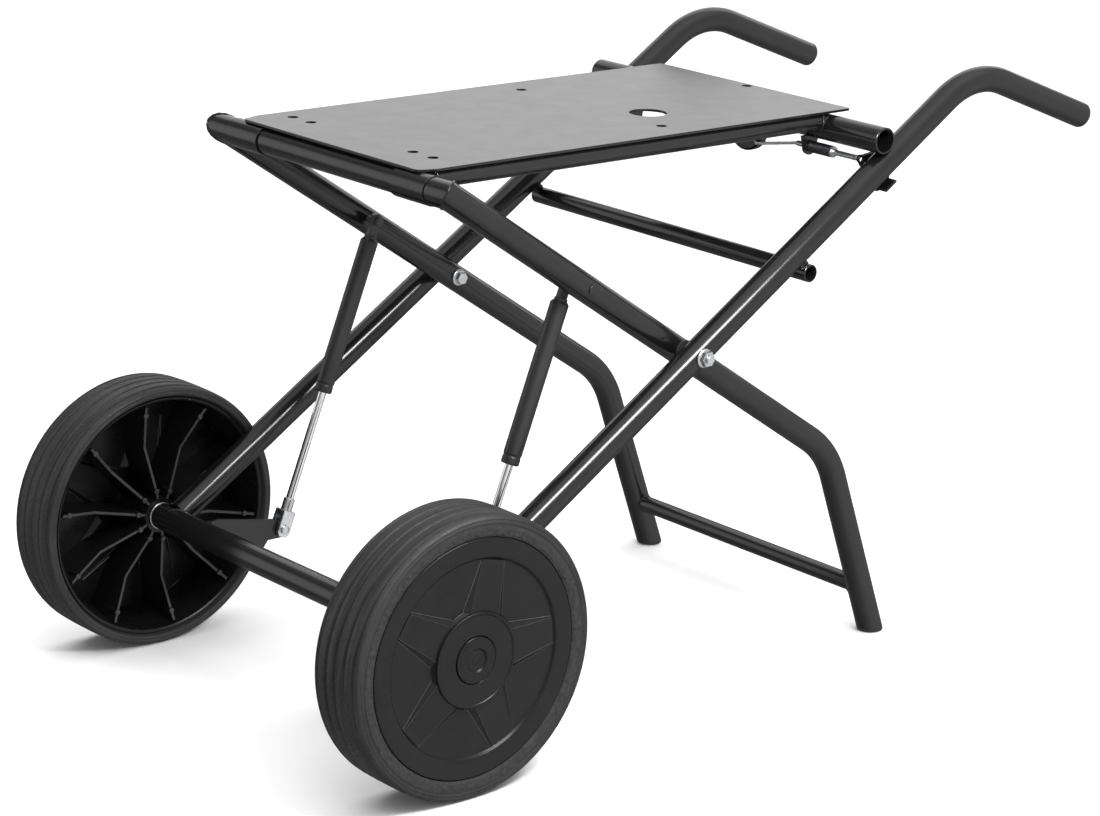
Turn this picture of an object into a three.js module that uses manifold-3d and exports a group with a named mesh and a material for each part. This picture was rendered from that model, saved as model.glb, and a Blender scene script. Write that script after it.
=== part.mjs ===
// Folding wheeled machine stand: a scissor frame with a tilting top plate, two gas springs and two wheels.
// Millimetres, +Z up, +X from the wheels to the handles, +Y to the right of someone who holds the handles.
// The part is designed about its axle and then set down with its origin on the floor, under its middle.
import * as THREE from 'three';
import { mergeVertices } from 'three/addons/utils/BufferGeometryUtils.js';
import Module from 'manifold-3d';

const wasm = await Module();
wasm.setup();

// Clearances and tube stock
const GAP = 0.3;
const TUBE_R = 15;
const TUBE_WALL = 2.2;
const SMALL_TUBE_R = 10;
const SMALL_WALL = 1.8;
const SIDES = 16;

// Wheels and axle
const WHEEL_R = 152;
const TYRE_INNER_Y = 244.5;
const TYRE_OUTER_Y = 318.5;
const WHEEL_SEGMENTS = 40;
const RIB_COUNT = 10;
const RIB_HEIGHT = 12;
const ARM_COUNT = 5;
const FACE_DEPTH = 6;
const AXLE_R = 10;
const BEAM_END_Y = 248;
const HUB_INNER_Y = 251;

// Handle frame
const SLOPE = THREE.MathUtils.degToRad(33.2);
const HANDLE_Y = 227;
const HANDLE_STRAIGHT = 881;
const HANDLE_BEND_R = 103;
const GRIP_DROP = THREE.MathUtils.degToRad(21);
const GRIP_LENGTH = 146;
const CROSSBAR_ALONG = 614;
const CROSSBAR_STANDOFF = 6;
const CROSSBAR_END_Y = 234;

// Leg frame
const LEG_Y = 195;
const AXLE_TO_PIVOT = 440.3;
const PIVOT_TO_TOP = 381.5;
const PIVOT_TO_KNEE = 254.5;
const KNEE_R = 107;
const SHIN_SLOPE = THREE.MathUtils.degToRad(69.2);
const FOOT_HEIGHT = 4;
const LEG_BAR_HEIGHT = 58;
const BOLT_R = 5;

// Top plate and its frame
const PLATE_X = [42.5, 655];
const PLATE_HALF_WIDTH = 159.5;
const PLATE_UNDERSIDE = 466.2;
const PLATE_THICKNESS = 3;
const SLEEVE_R = 16;
const TOP_TUBE_R = 14;
const SLEEVE_Y = [117, 173];
const RAIL_R = 9.7;
const RAIL_Y = 149.4;
const REST_TUBE_ALONG = 772.7;
const REST_TUBE_END_Y = 240;

// Gas springs
const SPRING_Y = 166.4;
const SPRING_FOOT = { x: 106, z: -12 };
const PIVOT_TO_EYE = 159.5;
const CYLINDER_R = 10.2;
const CYLINDER_SPAN = [161.3, 343.1];
const ROD_R = 4.5;
const ROD_TOP = 207;
const CLEVIS_TOP = 21.3;
const CLEVIS_NECK_TOP = 35.3;
const BRACKET_THICKNESS = 5;

// Latch under the rear tube
const PIN_R = 4;
const PIN_TIP_Y = -205.6;
const PIN_BEND_Y = -109;
const GUIDE_Y = -127;
const CLIP_Y = -166;
const LEVER_THICKNESS = 3;
const LEVER_RIM = 10;
const LEVER_REACH = 26;
const LEVER_R = 29;

// Points that everything else hangs from, in the axle's own frame
const along = (distance, angle, origin = { x: 0, z: 0 }) => ({
  x: origin.x + distance * Math.cos(angle),
  z: origin.z + distance * Math.sin(angle),
});
const onHandle = (distance, offset = 0) => along(offset, SLOPE + Math.PI / 2, along(distance, SLOPE));
const PIVOT = onHandle(AXLE_TO_PIVOT);
const LEG_TOP = along(PIVOT_TO_TOP, Math.PI - SLOPE, PIVOT);
const EYE = along(PIVOT_TO_EYE, Math.PI - SLOPE, PIVOT);
const REST_TUBE = onHandle(REST_TUBE_ALONG, 2 * TUBE_R + GAP);
const CROSSBAR = onHandle(CROSSBAR_ALONG, -(TUBE_R + CROSSBAR_STANDOFF + SMALL_TUBE_R));
const PIN = { x: REST_TUBE.x - 5, z: REST_TUBE.z - 25 };
const SIDE_NAMES = [['left', -1], ['right', 1]];

const finish = (color, roughness, metalness) => ({ color, roughness, metalness });
const POWDER_COAT = finish(0x151617, 0.32, 0.4);
const PLATE_COAT = finish(0x2a2b2d, 0.42, 0.4);
const ZINC = finish(0xc6c8cc, 0.3, 0.9);
const CHROME = finish(0xe2e4e8, 0.08, 1);
const CYLINDER_PAINT = finish(0x17181a, 0.45, 0.2);
const TYRE_RUBBER = finish(0x2b2c2e, 0.85, 0);
const HUB_PLASTIC = finish(0x141516, 0.5, 0);

const part = new THREE.Group();
const stand = new THREE.Group();
part.add(stand);

function addPiece(name, geometry, look) {
  const mesh = new THREE.Mesh(geometry, new THREE.MeshStandardMaterial(look));
  mesh.name = name;
  stand.add(mesh);
}

// ---- Solids: booleans and basic shapes, all placed in the axle's frame ----

function toSolid(geometry) {
  const bare = geometry.clone();
  bare.deleteAttribute('normal');
  bare.deleteAttribute('uv');
  const welded = mergeVertices(bare, 1e-4);
  const mesh = new wasm.Mesh({
    numProp: 3,
    vertProperties: new Float32Array(welded.attributes.position.array),
    triVerts: new Uint32Array(welded.index.array),
  });
  return new wasm.Manifold(mesh);
}

function toGeometry(solid) {
  const mesh = solid.getMesh();
  const geometry = new THREE.BufferGeometry();
  geometry.setAttribute('position', new THREE.BufferAttribute(mesh.vertProperties, 3));
  geometry.setIndex(new THREE.BufferAttribute(mesh.triVerts, 1));
  geometry.computeVertexNormals();
  return geometry;
}

const cut = (body, ...tools) =>
  toGeometry(tools.reduce((left, tool) => left.subtract(toSolid(tool)), toSolid(body)));
const join = (body, ...others) =>
  toGeometry(others.reduce((sum, other) => sum.add(toSolid(other)), toSolid(body)));
const common = (body, other) => toGeometry(toSolid(body).intersect(toSolid(other)));

/** A round bar along Y through a point. */
function crossBar(radius, centre, y0, y1, sides = SIDES) {
  const bar = new THREE.CylinderGeometry(radius, radius, Math.abs(y1 - y0), sides);
  return bar.translate(centre.x, (y0 + y1) / 2, centre.z);
}

/** A tube along Y that is open at both ends. */
function crossTube(outer, inner, centre, y0, y1, sides = SIDES) {
  return turned([[inner, y0], [outer, y0], [outer, y1], [inner, y1], [inner, y0]], centre, sides);
}

/** A solid turned about Y: its profile is a list of [radius, y] that is closed or ends on the axis. */
function turned(profile, centre = { x: 0, z: 0 }, sides = SIDES) {
  const points = profile.map(([radius, y]) => new THREE.Vector2(radius, y));
  return new THREE.LatheGeometry(points, sides).translate(centre.x, 0, centre.z);
}

/** A flat plate in the XZ plane, from y0 towards y1. */
function sidePlate(shape, y0, y1) {
  const depth = Math.abs(y1 - y0);
  const plate = new THREE.ExtrudeGeometry(shape, { depth, bevelEnabled: false, curveSegments: 6 });
  return plate.rotateX(Math.PI / 2).translate(0, Math.max(y0, y1), 0);
}

/** A round bar whose axis lies in an XZ plane, from a distance to another along a heading. */
function leaningBar(radius, origin, heading, from, to, y, sides = SIDES) {
  const bar = new THREE.CylinderGeometry(radius, radius, to - from, sides);
  const middle = along((from + to) / 2, heading, origin);
  return bar.rotateZ(-Math.PI / 2).rotateY(-heading).translate(middle.x, y, middle.z);
}

/** A box whose long side follows a heading in the XZ plane. */
function leaningBox(length, width, height, origin, heading, from, y) {
  const middle = along(from + length / 2, heading, origin);
  return new THREE.BoxGeometry(length, width, height).rotateY(-heading).translate(middle.x, y, middle.z);
}

/** A solid turned about a heading in the XZ plane: its profile is a list of [radius, distance]. */
function turnedAlong(profile, origin, heading, y, sides = SIDES) {
  const points = profile.map(([radius, distance]) => new THREE.Vector2(radius, distance));
  const solid = new THREE.LatheGeometry(points, sides);
  return solid.rotateZ(-Math.PI / 2).rotateY(-heading).translate(origin.x, y, origin.z);
}

/** A bent tube's centre line in an XZ plane, with sections only at its ends and round its bends. */
class TubePath extends THREE.Curve {
  constructor(start, heading, y) {
    super();
    this.stations = [{ ...start, heading }];
    this.y = y;
  }

  run(length) {
    const last = this.stations.at(-1);
    this.stations.push({ ...along(length, last.heading, last), heading: last.heading });
    return this;
  }

  bend(radius, turn, steps) {
    const first = this.stations.at(-1);
    const towards = Math.sign(turn) * Math.PI / 2;
    const centre = along(radius, first.heading + towards, first);
    for (let i = 1; i <= steps; i++) {
      const heading = first.heading + turn * i / steps;
      this.stations.push({ ...along(-radius, heading + towards, centre), heading });
    }
    return this;
  }

  end() {
    return this.stations.at(-1);
  }

  stationAt(u) {
    return this.stations[Math.round(u * (this.stations.length - 1))];
  }

  getPointAt(u) {
    const station = this.stationAt(u);
    return new THREE.Vector3(station.x, this.y, station.z);
  }

  getTangentAt(u) {
    const { heading } = this.stationAt(u);
    return new THREE.Vector3(Math.cos(heading), 0, Math.sin(heading));
  }
}

function bentTube(path, radius, wall) {
  const section = new THREE.Shape().absarc(0, 0, radius, 0, 2 * Math.PI);
  if (wall) section.holes.push(new THREE.Path().absarc(0, 0, radius - wall, 0, 2 * Math.PI));
  const steps = path.stations.length - 1;
  return new THREE.ExtrudeGeometry(section, { steps, extrudePath: path, curveSegments: SIDES / 2 });
}

// ---- Handle frame ----

function addHandle(side, sign) {
  const y = sign * HANDLE_Y;
  const path = new TubePath({ x: 0, z: 0 }, SLOPE, y);
  path.run(HANDLE_STRAIGHT).bend(HANDLE_BEND_R, -(SLOPE + GRIP_DROP), 8).run(GRIP_LENGTH);
  const beam = crossBar(TUBE_R + GAP, { x: 0, z: 0 }, y - 40, y + 40, 32);
  const boltHole = crossBar(BOLT_R + GAP, PIVOT, y - 20, y + 20, 12);
  addPiece(`handle_tube_${side}`, cut(bentTube(path, TUBE_R, TUBE_WALL), beam, boltHole), POWDER_COAT);

  const plugR = TUBE_R - TUBE_WALL - GAP;
  const domeProfile = [[0, -18], [plugR, -18], [plugR, GAP], [TUBE_R, GAP]];
  domeProfile.push([TUBE_R - 0.8, 2.4], [TUBE_R - 3.4, 4], [0, 4.4]);
  addPiece(`grip_plug_${side}`, turnedAlong(domeProfile, path.end(), path.end().heading, y), HUB_PLASTIC);
}

function addAxle() {
  const axis = { x: 0, z: 0 };
  addPiece('axle_beam', crossTube(TUBE_R, TUBE_R - 2.5, axis, -BEAM_END_Y, BEAM_END_Y, 32), POWDER_COAT);
  const rodEnd = TYRE_OUTER_Y - 13;
  const profile = [[0, -rodEnd], [AXLE_R - 1, -rodEnd], [AXLE_R, 1 - rodEnd], [AXLE_R, rodEnd - 1]];
  profile.push([AXLE_R - 1, rodEnd], [0, rodEnd]);
  addPiece('axle_rod', turned(profile), ZINC);
  for (const [side, sign] of SIDE_NAMES) {
    const washer = crossTube(17, AXLE_R + GAP, axis, sign * (BEAM_END_Y + GAP), sign * (HUB_INNER_Y - GAP));
    addPiece(`axle_washer_${side}`, sign > 0 ? washer : flipped(washer), ZINC);
  }
}

/** A turned solid whose profile ran the other way comes out inside out: this turns its faces round. */
function flipped(geometry) {
  const turnedRound = geometry.clone();
  const index = turnedRound.index.array;
  for (let i = 0; i < index.length; i += 3) [index[i], index[i + 1]] = [index[i + 1], index[i]];
  turnedRound.computeVertexNormals();
  return turnedRound;
}

/** A lug from the axle beam that carries the lower end of a gas spring. */
function addSpringBracket(side, sign) {
  const { x, z } = SPRING_FOOT;
  const shape = new THREE.Shape();
  shape.moveTo(0, 13);
  shape.lineTo(20, 15);
  shape.lineTo(x - 3, z + 11);
  shape.absarc(x - 1, z, 11, Math.PI / 2, -Math.PI / 2, true);
  shape.lineTo(x - 19, z - 11);
  shape.lineTo(x - 26, z - 20);
  shape.lineTo(0, -13);
  shape.closePath();
  shape.holes.push(new THREE.Path().absarc(x, z, 4 + GAP, 0, 2 * Math.PI));
  const y = sign * SPRING_Y;
  const lug = sidePlate(shape, y - BRACKET_THICKNESS / 2, y + BRACKET_THICKNESS / 2);
  const beam = crossBar(TUBE_R + GAP, { x: 0, z: 0 }, y - 10, y + 10, 32);
  addPiece(`spring_bracket_${side}`, cut(lug, beam), POWDER_COAT);
}

function addCrossbar() {
  const bar = crossTube(SMALL_TUBE_R, SMALL_TUBE_R - SMALL_WALL, CROSSBAR, -CROSSBAR_END_Y, CROSSBAR_END_Y);
  addPiece('frame_crossbar', bar, POWDER_COAT);
  for (const [side, sign] of SIDE_NAMES) {
    const y = sign * HANDLE_Y;
    const block = leaningBox(11, 7, 24, CROSSBAR, SLOPE, -5.5, y);
    const lift = along(14, SLOPE + Math.PI / 2);
    block.translate(lift.x, 0, lift.z);
    const handle = leaningBar(TUBE_R + GAP, { x: 0, z: 0 }, SLOPE, 500, 720, y);
    const barHole = crossBar(SMALL_TUBE_R + GAP, CROSSBAR, y - 20, y + 20);
    const upperHalf = leaningBox(60, 30, 40, onHandle(CROSSBAR_ALONG, 20), SLOPE, -30, y);
    addPiece(`crossbar_tab_${side}`, cut(block, handle, barHole, upperHalf), POWDER_COAT);
  }
}

/** A plate inside each handle tube: the rear tube stops on it, and the latch pin meets its hole. */
function addCatchPlate(side, sign) {
  const shape = new THREE.Shape();
  const corner = (distance, offset) => onHandle(distance, offset);
  const outline = [corner(752, 14), corner(759, 13.4), corner(782, 2), corner(782, -30), corner(776, -37)];
  outline.push(corner(757, -37), corner(752, -31));
  outline.forEach((point, i) => (i ? shape.lineTo(point.x, point.z) : shape.moveTo(point.x, point.z)));
  shape.closePath();
  const inner = sign * (HANDLE_Y - TUBE_R - 5.6);
  const outer = sign * (HANDLE_Y - TUBE_R - 1.6);
  const plate = sidePlate(shape, inner, outer);
  const hole = crossBar(PIN_R + 0.8, PIN, inner - 10, inner + 10, 14);
  const foot = along(-34, SLOPE + Math.PI / 2, along(757, SLOPE));
  const flange = leaningBox(19, 16, 3, foot, SLOPE, 0, sign * (HANDLE_Y - TUBE_R + 5));
  const body = join(cut(plate, hole), flange);
  addPiece(`catch_plate_${side}`, body, POWDER_COAT);
}

// ---- Leg frame ----

/** A leg's centre line from its top end, down past the pivot and round the knee. */
function legPath(y) {
  const path = new TubePath(LEG_TOP, -SLOPE, y);
  return path.run(PIVOT_TO_TOP + PIVOT_TO_KNEE).bend(KNEE_R, SLOPE - SHIN_SLOPE, 7);
}

/** The point on a leg's shin at a height above the floor. */
function onShin(height) {
  const knee = legPath(0).end();
  return along((knee.z + WHEEL_R - height) / Math.sin(SHIN_SLOPE), -SHIN_SLOPE, knee);
}

function addLeg(side, sign) {
  const y = sign * LEG_Y;
  const path = legPath(y);
  const knee = path.end();
  path.run((knee.z + WHEEL_R) / Math.sin(SHIN_SLOPE) + 20);
  const floorBlock = new THREE.BoxGeometry(300, 60, 60).translate(knee.x + 50, y, FOOT_HEIGHT - WHEEL_R - 30);
  const boltHole = crossBar(BOLT_R + GAP, PIVOT, y - 20, y + 20, 12);
  const studHole = crossBar(4 + GAP, EYE, y - 20, y + 20, 10);
  const elbow = new THREE.SphereGeometry(TUBE_R, SIDES, 8).translate(LEG_TOP.x, y, LEG_TOP.z);
  const tube = join(bentTube(path, TUBE_R, TUBE_WALL), elbow);
  addPiece(`leg_tube_${side}`, cut(tube, floorBlock, boltHole, studHole), POWDER_COAT);
}

/** A moulded foot that plugs a leg and is cut level with the floor. */
function addFoot(side, sign) {
  const y = sign * LEG_Y;
  const toe = onShin(0);
  const stub = leaningBar(TUBE_R, toe, -SHIN_SLOPE, -30, 30, y);
  const sole = new THREE.BoxGeometry(60, 40, FOOT_HEIGHT - GAP);
  sole.translate(toe.x, y, (FOOT_HEIGHT - GAP) / 2 - WHEEL_R);
  const plug = leaningBar(TUBE_R - TUBE_WALL - GAP, toe, -SHIN_SLOPE, -24, -1, y);
  const room = new THREE.BoxGeometry(80, 60, 60).translate(toe.x, y, 30 + 1 - WHEEL_R);
  addPiece(`foot_${side}`, join(common(stub, sole), common(plug, room)), HUB_PLASTIC);
}

function addLegBars() {
  const sleeveEnd = SLEEVE_Y[1] + GAP + 0.5;
  const ends = LEG_Y;
  const inner = TOP_TUBE_R - 2.2;
  const profile = [[inner, -ends], [TUBE_R, -ends], [TUBE_R, -sleeveEnd], [TOP_TUBE_R, -sleeveEnd]];
  profile.push([TOP_TUBE_R, sleeveEnd], [TUBE_R, sleeveEnd], [TUBE_R, ends], [inner, ends], [inner, -ends]);
  const topTube = turned(profile, LEG_TOP, 24);
  const legs = SIDE_NAMES.map(([, sign]) => leaningBar(TUBE_R + GAP, LEG_TOP, -SLOPE, -30, 60, sign * LEG_Y));
  const elbow = (sign) => leaningBar(40, LEG_TOP, -SLOPE, -60, 0.1, sign * (LEG_Y + 28.5));
  const elbows = SIDE_NAMES.map(([, sign]) => elbow(sign));
  addPiece('leg_top_tube', cut(topTube, ...legs, ...elbows), POWDER_COAT);

  const centre = onShin(LEG_BAR_HEIGHT);
  const bar = crossTube(SMALL_TUBE_R, SMALL_TUBE_R - SMALL_WALL, centre, -LEG_Y, LEG_Y);
  const shin = (sign) => leaningBar(TUBE_R + GAP, centre, -SHIN_SLOPE, -40, 40, sign * LEG_Y);
  const shins = SIDE_NAMES.map(([, sign]) => shin(sign));
  addPiece('leg_crossbar', cut(bar, ...shins), POWDER_COAT);
}

/** The scissor bolt: its head is inside the leg, its nut outside the handle, with a washer between them. */
function addPivotBolt(side, sign) {
  const inside = LEG_Y - TUBE_R - GAP;
  const outside = HANDLE_Y + TUBE_R + GAP;
  const mirror = geometry => (sign > 0 ? geometry : geometry.rotateZ(Math.PI).translate(2 * PIVOT.x, 0, 0));
  const profile = [[0, inside - 8], [6, inside - 7.4], [8.5, inside - 4.8], [8.5, inside - 1.6]];
  profile.push([10.5, inside - 1.6], [10.5, inside], [BOLT_R, inside]);
  profile.push([BOLT_R, outside + 11], [0, outside + 11.6]);
  addPiece(`pivot_bolt_${side}`, mirror(turned(profile, PIVOT)), ZINC);

  const nut = new THREE.CylinderGeometry(8.6, 8.6, 6.4, 6).translate(PIVOT.x, outside + 5, PIVOT.z);
  const collar = crossBar(10.5, PIVOT, outside, outside + 2);
  const bore = crossBar(BOLT_R + GAP, PIVOT, outside - 2, outside + 20, 16);
  addPiece(`pivot_nut_${side}`, mirror(cut(join(nut, collar), bore)), ZINC);

  const washer = crossTube(13, BOLT_R + GAP, PIVOT, LEG_Y + TUBE_R + GAP, HANDLE_Y - TUBE_R - GAP);
  addPiece(`pivot_washer_${side}`, mirror(washer), HUB_PLASTIC);
}

// ---- Top plate, its rails, sleeves and rear tube ----

function addPlate() {
  const [front, rear] = PLATE_X;
  const half = PLATE_HALF_WIDTH;
  const shape = new THREE.Shape();
  shape.moveTo(front, 8 - half);
  shape.lineTo(front + 23, -half);
  shape.lineTo(rear - 4, -half);
  shape.absarc(rear - 4, 4 - half, 4, -Math.PI / 2, 0, false);
  shape.absarc(rear - 4, half - 4, 4, 0, Math.PI / 2, false);
  shape.lineTo(front + 23, half);
  shape.lineTo(front, half - 8);
  shape.closePath();
  const hole = (x, y, radius) => shape.holes.push(new THREE.Path().absarc(x, y, radius, 0, 2 * Math.PI));
  for (const y of [131, 98, -81, -114.5]) hole(93, y, 5.8);
  for (const y of [119.5, -119.5]) hole(405, y, 5.8);
  hole(441, -57, 21);
  hole(645, 0, 5.8);
  const options = { depth: PLATE_THICKNESS, bevelEnabled: false, curveSegments: 7 };
  const plate = new THREE.ExtrudeGeometry(shape, options);
  addPiece('table_plate', plate.translate(0, 0, PLATE_UNDERSIDE), PLATE_COAT);
}

function addPlateFrame() {
  const railZ = PLATE_UNDERSIDE - GAP - RAIL_R;
  const rearTube = crossBar(TUBE_R + GAP, REST_TUBE, -REST_TUBE_END_Y, REST_TUBE_END_Y, 28);
  const topTube = crossBar(SLEEVE_R + GAP, LEG_TOP, -SLEEVE_Y[1], SLEEVE_Y[1], 28);
  for (const [side, sign] of SIDE_NAMES) {
    const [y0, y1] = SLEEVE_Y.map(y => sign * y);
    const low = Math.min(y0, y1);
    const high = Math.max(y0, y1);
    const sleeve = crossTube(SLEEVE_R, TOP_TUBE_R + GAP, LEG_TOP, low, high, 28);
    addPiece(`pivot_sleeve_${side}`, sleeve, POWDER_COAT);

    const length = REST_TUBE.x - LEG_TOP.x;
    const path = new TubePath({ x: LEG_TOP.x, z: railZ }, 0, sign * RAIL_Y).run(length);
    addPiece(`side_rail_${side}`, cut(bentTube(path, RAIL_R, SMALL_WALL), rearTube, topTube), POWDER_COAT);
  }
  const rear = crossTube(TUBE_R, TUBE_R - TUBE_WALL, REST_TUBE, -REST_TUBE_END_Y, REST_TUBE_END_Y, 28);
  addPiece('rear_tube', rear, POWDER_COAT);
}

// ---- Latch ----

function addLatch() {
  const guide = new THREE.Shape();
  guide.moveTo(PIN.x - 13, REST_TUBE.z - 8);
  guide.lineTo(PIN.x - 10, PIN.z);
  guide.absarc(PIN.x, PIN.z, 10, Math.PI, 2 * Math.PI, false);
  guide.lineTo(PIN.x + 13, REST_TUBE.z - 8);
  guide.closePath();
  guide.holes.push(new THREE.Path().absarc(PIN.x, PIN.z, PIN_R + GAP, 0, 2 * Math.PI));
  const tube = crossBar(TUBE_R + GAP, REST_TUBE, GUIDE_Y - 10, GUIDE_Y + 10, 28);
  addPiece('pin_guide', cut(sidePlate(guide, GUIDE_Y - 2, GUIDE_Y + 2), tube), POWDER_COAT);

  const clip = crossTube(6, PIN_R + GAP, PIN, CLIP_Y - 0.8, CLIP_Y + 0.8, 14);
  addPiece('pin_clip', clip, ZINC);
  addPiece('pin_spring', pinSpring(), ZINC);
  addPiece('latch_pin', latchPin(), ZINC);
  addLever();
}

/** The pin is one rod: straight through its guide, then cranked back to the lever behind the rear tube. */
function latchPin() {
  const leverFace = REST_TUBE.x + TUBE_R + 1;
  const points = [
    new THREE.Vector3(PIN.x, PIN_BEND_Y, PIN.z),
    new THREE.Vector3(leverFace - 5, -26, REST_TUBE.z - 41),
    new THREE.Vector3(leverFace + 1, -18, REST_TUBE.z - 41),
  ];
  const profile = [[0, PIN_TIP_Y], [PIN_R - 1.2, PIN_TIP_Y], [PIN_R, PIN_TIP_Y + 2]];
  profile.push([PIN_R, PIN_BEND_Y], [0, PIN_BEND_Y]);
  const straight = turned(profile, PIN, 14);
  const section = new THREE.Shape().absarc(0, 0, PIN_R - 1.2, 0, 2 * Math.PI);
  const crank = new THREE.CatmullRomCurve3(points, false, 'catmullrom', 0.2);
  const wire = new THREE.ExtrudeGeometry(section, { steps: 8, extrudePath: crank, curveSegments: 4 });
  const knuckle = new THREE.SphereGeometry(PIN_R, 12, 8).translate(PIN.x, PIN_BEND_Y, PIN.z);
  const leverRoom = new THREE.BoxGeometry(20, 200, 200).translate(leverFace - GAP + 10, 0, REST_TUBE.z);
  return cut(join(straight, knuckle, wire), leverRoom);
}

function pinSpring() {
  const turns = 7;
  const start = GUIDE_Y - 2 - 1.4;
  const length = CLIP_Y - start - 1;
  class Helix extends THREE.Curve {
    getPoint(t) {
      const angle = 2 * Math.PI * turns * t;
      return new THREE.Vector3(PIN.x + 8 * Math.cos(angle), start + length * t, PIN.z + 8 * Math.sin(angle));
    }
  }
  const wire = new THREE.Shape().absarc(0, 0, 0.9, 0, 2 * Math.PI);
  return new THREE.ExtrudeGeometry(wire, { steps: turns * 8, extrudePath: new Helix(), curveSegments: 3 });
}

/** The release lever is a paddle that hangs from a bolt, with a rim round its lower edge for the fingers. */
function addLever() {
  const face = REST_TUBE.x + TUBE_R + 1;
  const paddle = new THREE.Shape();
  paddle.moveTo(-13, 0);
  paddle.lineTo(-LEVER_R, -LEVER_REACH);
  paddle.absarc(0, -LEVER_REACH, LEVER_R, Math.PI, 2 * Math.PI, false);
  paddle.lineTo(13, 0);
  paddle.absarc(0, 0, 13, 0, Math.PI, false);
  paddle.holes.push(new THREE.Path().absarc(0, 0, 4 + GAP, 0, 2 * Math.PI));
  const rim = new THREE.Shape().absarc(0, -LEVER_REACH, LEVER_R, Math.PI, 2 * Math.PI, false);
  rim.absarc(0, -LEVER_REACH, LEVER_R - LEVER_THICKNESS, 2 * Math.PI, Math.PI, true);
  const options = { bevelEnabled: false, curveSegments: 8 };
  const extrude = (shape, depth) => new THREE.ExtrudeGeometry(shape, { depth, ...options });
  const lever = join(extrude(paddle, LEVER_THICKNESS), extrude(rim, LEVER_RIM));
  lever.rotateX(Math.PI / 2).rotateZ(Math.PI / 2).translate(face, 0, REST_TUBE.z);
  addPiece('release_lever', lever, POWDER_COAT);

  const tip = LEVER_THICKNESS + 2 * GAP + 1;
  const profile = [[0, GAP], [4, GAP], [4, tip], [8, tip], [8, tip + 2.4], [6, tip + 4], [0, tip + 4.6]];
  const origin = { x: REST_TUBE.x + TUBE_R, z: REST_TUBE.z };
  addPiece('lever_bolt', turnedAlong(profile, origin, 0, 0, 16), ZINC);
}

// ---- Gas springs ----

function addGasSpring(side, sign) {
  const y = sign * SPRING_Y;
  const heading = Math.atan2(EYE.z - SPRING_FOOT.z, EYE.x - SPRING_FOOT.x);
  const reach = Math.hypot(EYE.z - SPRING_FOOT.z, EYE.x - SPRING_FOOT.x);
  const [low, high] = CYLINDER_SPAN;
  const bore = ROD_R + GAP;
  const cylinder = [[bore, low + 1], [CYLINDER_R - 1.4, low], [CYLINDER_R, low + 1.4]];
  cylinder.push([CYLINDER_R, high - 2.4], [CYLINDER_R - 2.4, high], [0, high], [0, high - 12]);
  cylinder.push([bore, high - 12], [bore, low + 1]);
  addPiece(`gas_cylinder_${side}`, turnedAlong(cylinder, SPRING_FOOT, heading, y, 24), CYLINDER_PAINT);

  const rod = [[0, CLEVIS_NECK_TOP - 12], [ROD_R, CLEVIS_NECK_TOP - 12], [ROD_R, ROD_TOP], [0, ROD_TOP]];
  addPiece(`gas_rod_${side}`, turnedAlong(rod, SPRING_FOOT, heading, y, 16), CHROME);
  addClevis(side, y, heading);
  addEye(side, sign, heading, reach, high);
}

/** The forked end on the rod, which straddles the bracket, and the pin that holds it there. */
function addClevis(side, y, heading) {
  const fork = leaningBox(CLEVIS_TOP + 9.2, 17, 17, SPRING_FOOT, heading, -9.2, y);
  const neck = leaningBar(6.4, SPRING_FOOT, heading, CLEVIS_TOP - 1, CLEVIS_NECK_TOP, y, 16);
  const slot = leaningBox(26, BRACKET_THICKNESS + 2 * GAP + 0.4, 30, SPRING_FOOT, heading, -14, y);
  const slotEnd = new THREE.CylinderGeometry(13.5, 13.5, BRACKET_THICKNESS + 2 * GAP + 0.4, 20);
  slotEnd.translate(SPRING_FOOT.x, y, SPRING_FOOT.z);
  const pinHole = crossBar(4 + GAP, SPRING_FOOT, y - 20, y + 20, 14);
  const rodHole = leaningBar(ROD_R + GAP, SPRING_FOOT, heading, 12, CLEVIS_NECK_TOP + 5, y, 16);
  addPiece(`rod_clevis_${side}`, cut(join(fork, neck), slot, slotEnd, pinHole, rodHole), ZINC);

  const head = 10.5;
  const [low, high] = [y - head, y + head];
  const profile = [[0, low], [5, low], [5, low + 1.6], [4, low + 1.6], [4, high - 1.6]];
  profile.push([5, high - 1.6], [5, high], [0, high]);
  addPiece(`clevis_pin_${side}`, turned(profile, SPRING_FOOT, 14), ZINC);
}

/** The flat lug on top of the cylinder and its stud, which ends just short of the leg. */
function addEye(side, sign, heading, reach, high) {
  const y = sign * SPRING_Y;
  const lug = leaningBox(reach - high + 3, 7, 12, SPRING_FOOT, heading, high + GAP, y);
  const ring = crossBar(8.5, EYE, y - 3.5, y + 3.5);
  const studEnd = sign * (LEG_Y - TUBE_R - GAP);
  const inner = y - sign * 7;
  const stud = crossBar(4, EYE, Math.min(inner, studEnd), Math.max(inner, studEnd), 14);
  const headEnds = [inner, inner - sign * 2];
  const headOfStud = crossBar(5.5, EYE, Math.min(...headEnds), Math.max(...headEnds), 14);
  addPiece(`spring_eye_${side}`, join(lug, ring, stud, headOfStud), POWDER_COAT);

  const rivetStart = LEG_Y - TUBE_R + 1;
  const outside = LEG_Y + TUBE_R;
  const profile = [[0, rivetStart], [4, rivetStart], [4, outside + GAP], [6, outside + GAP]];
  profile.push([5, outside + 1.3], [0, outside + 1.5]);
  const rivet = turned(profile, EYE, 14);
  const placed = sign > 0 ? rivet : rivet.rotateZ(Math.PI).translate(2 * EYE.x, 0, 0);
  addPiece(`spring_rivet_${side}`, placed, POWDER_COAT);
}

// ---- Wheels ----

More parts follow.
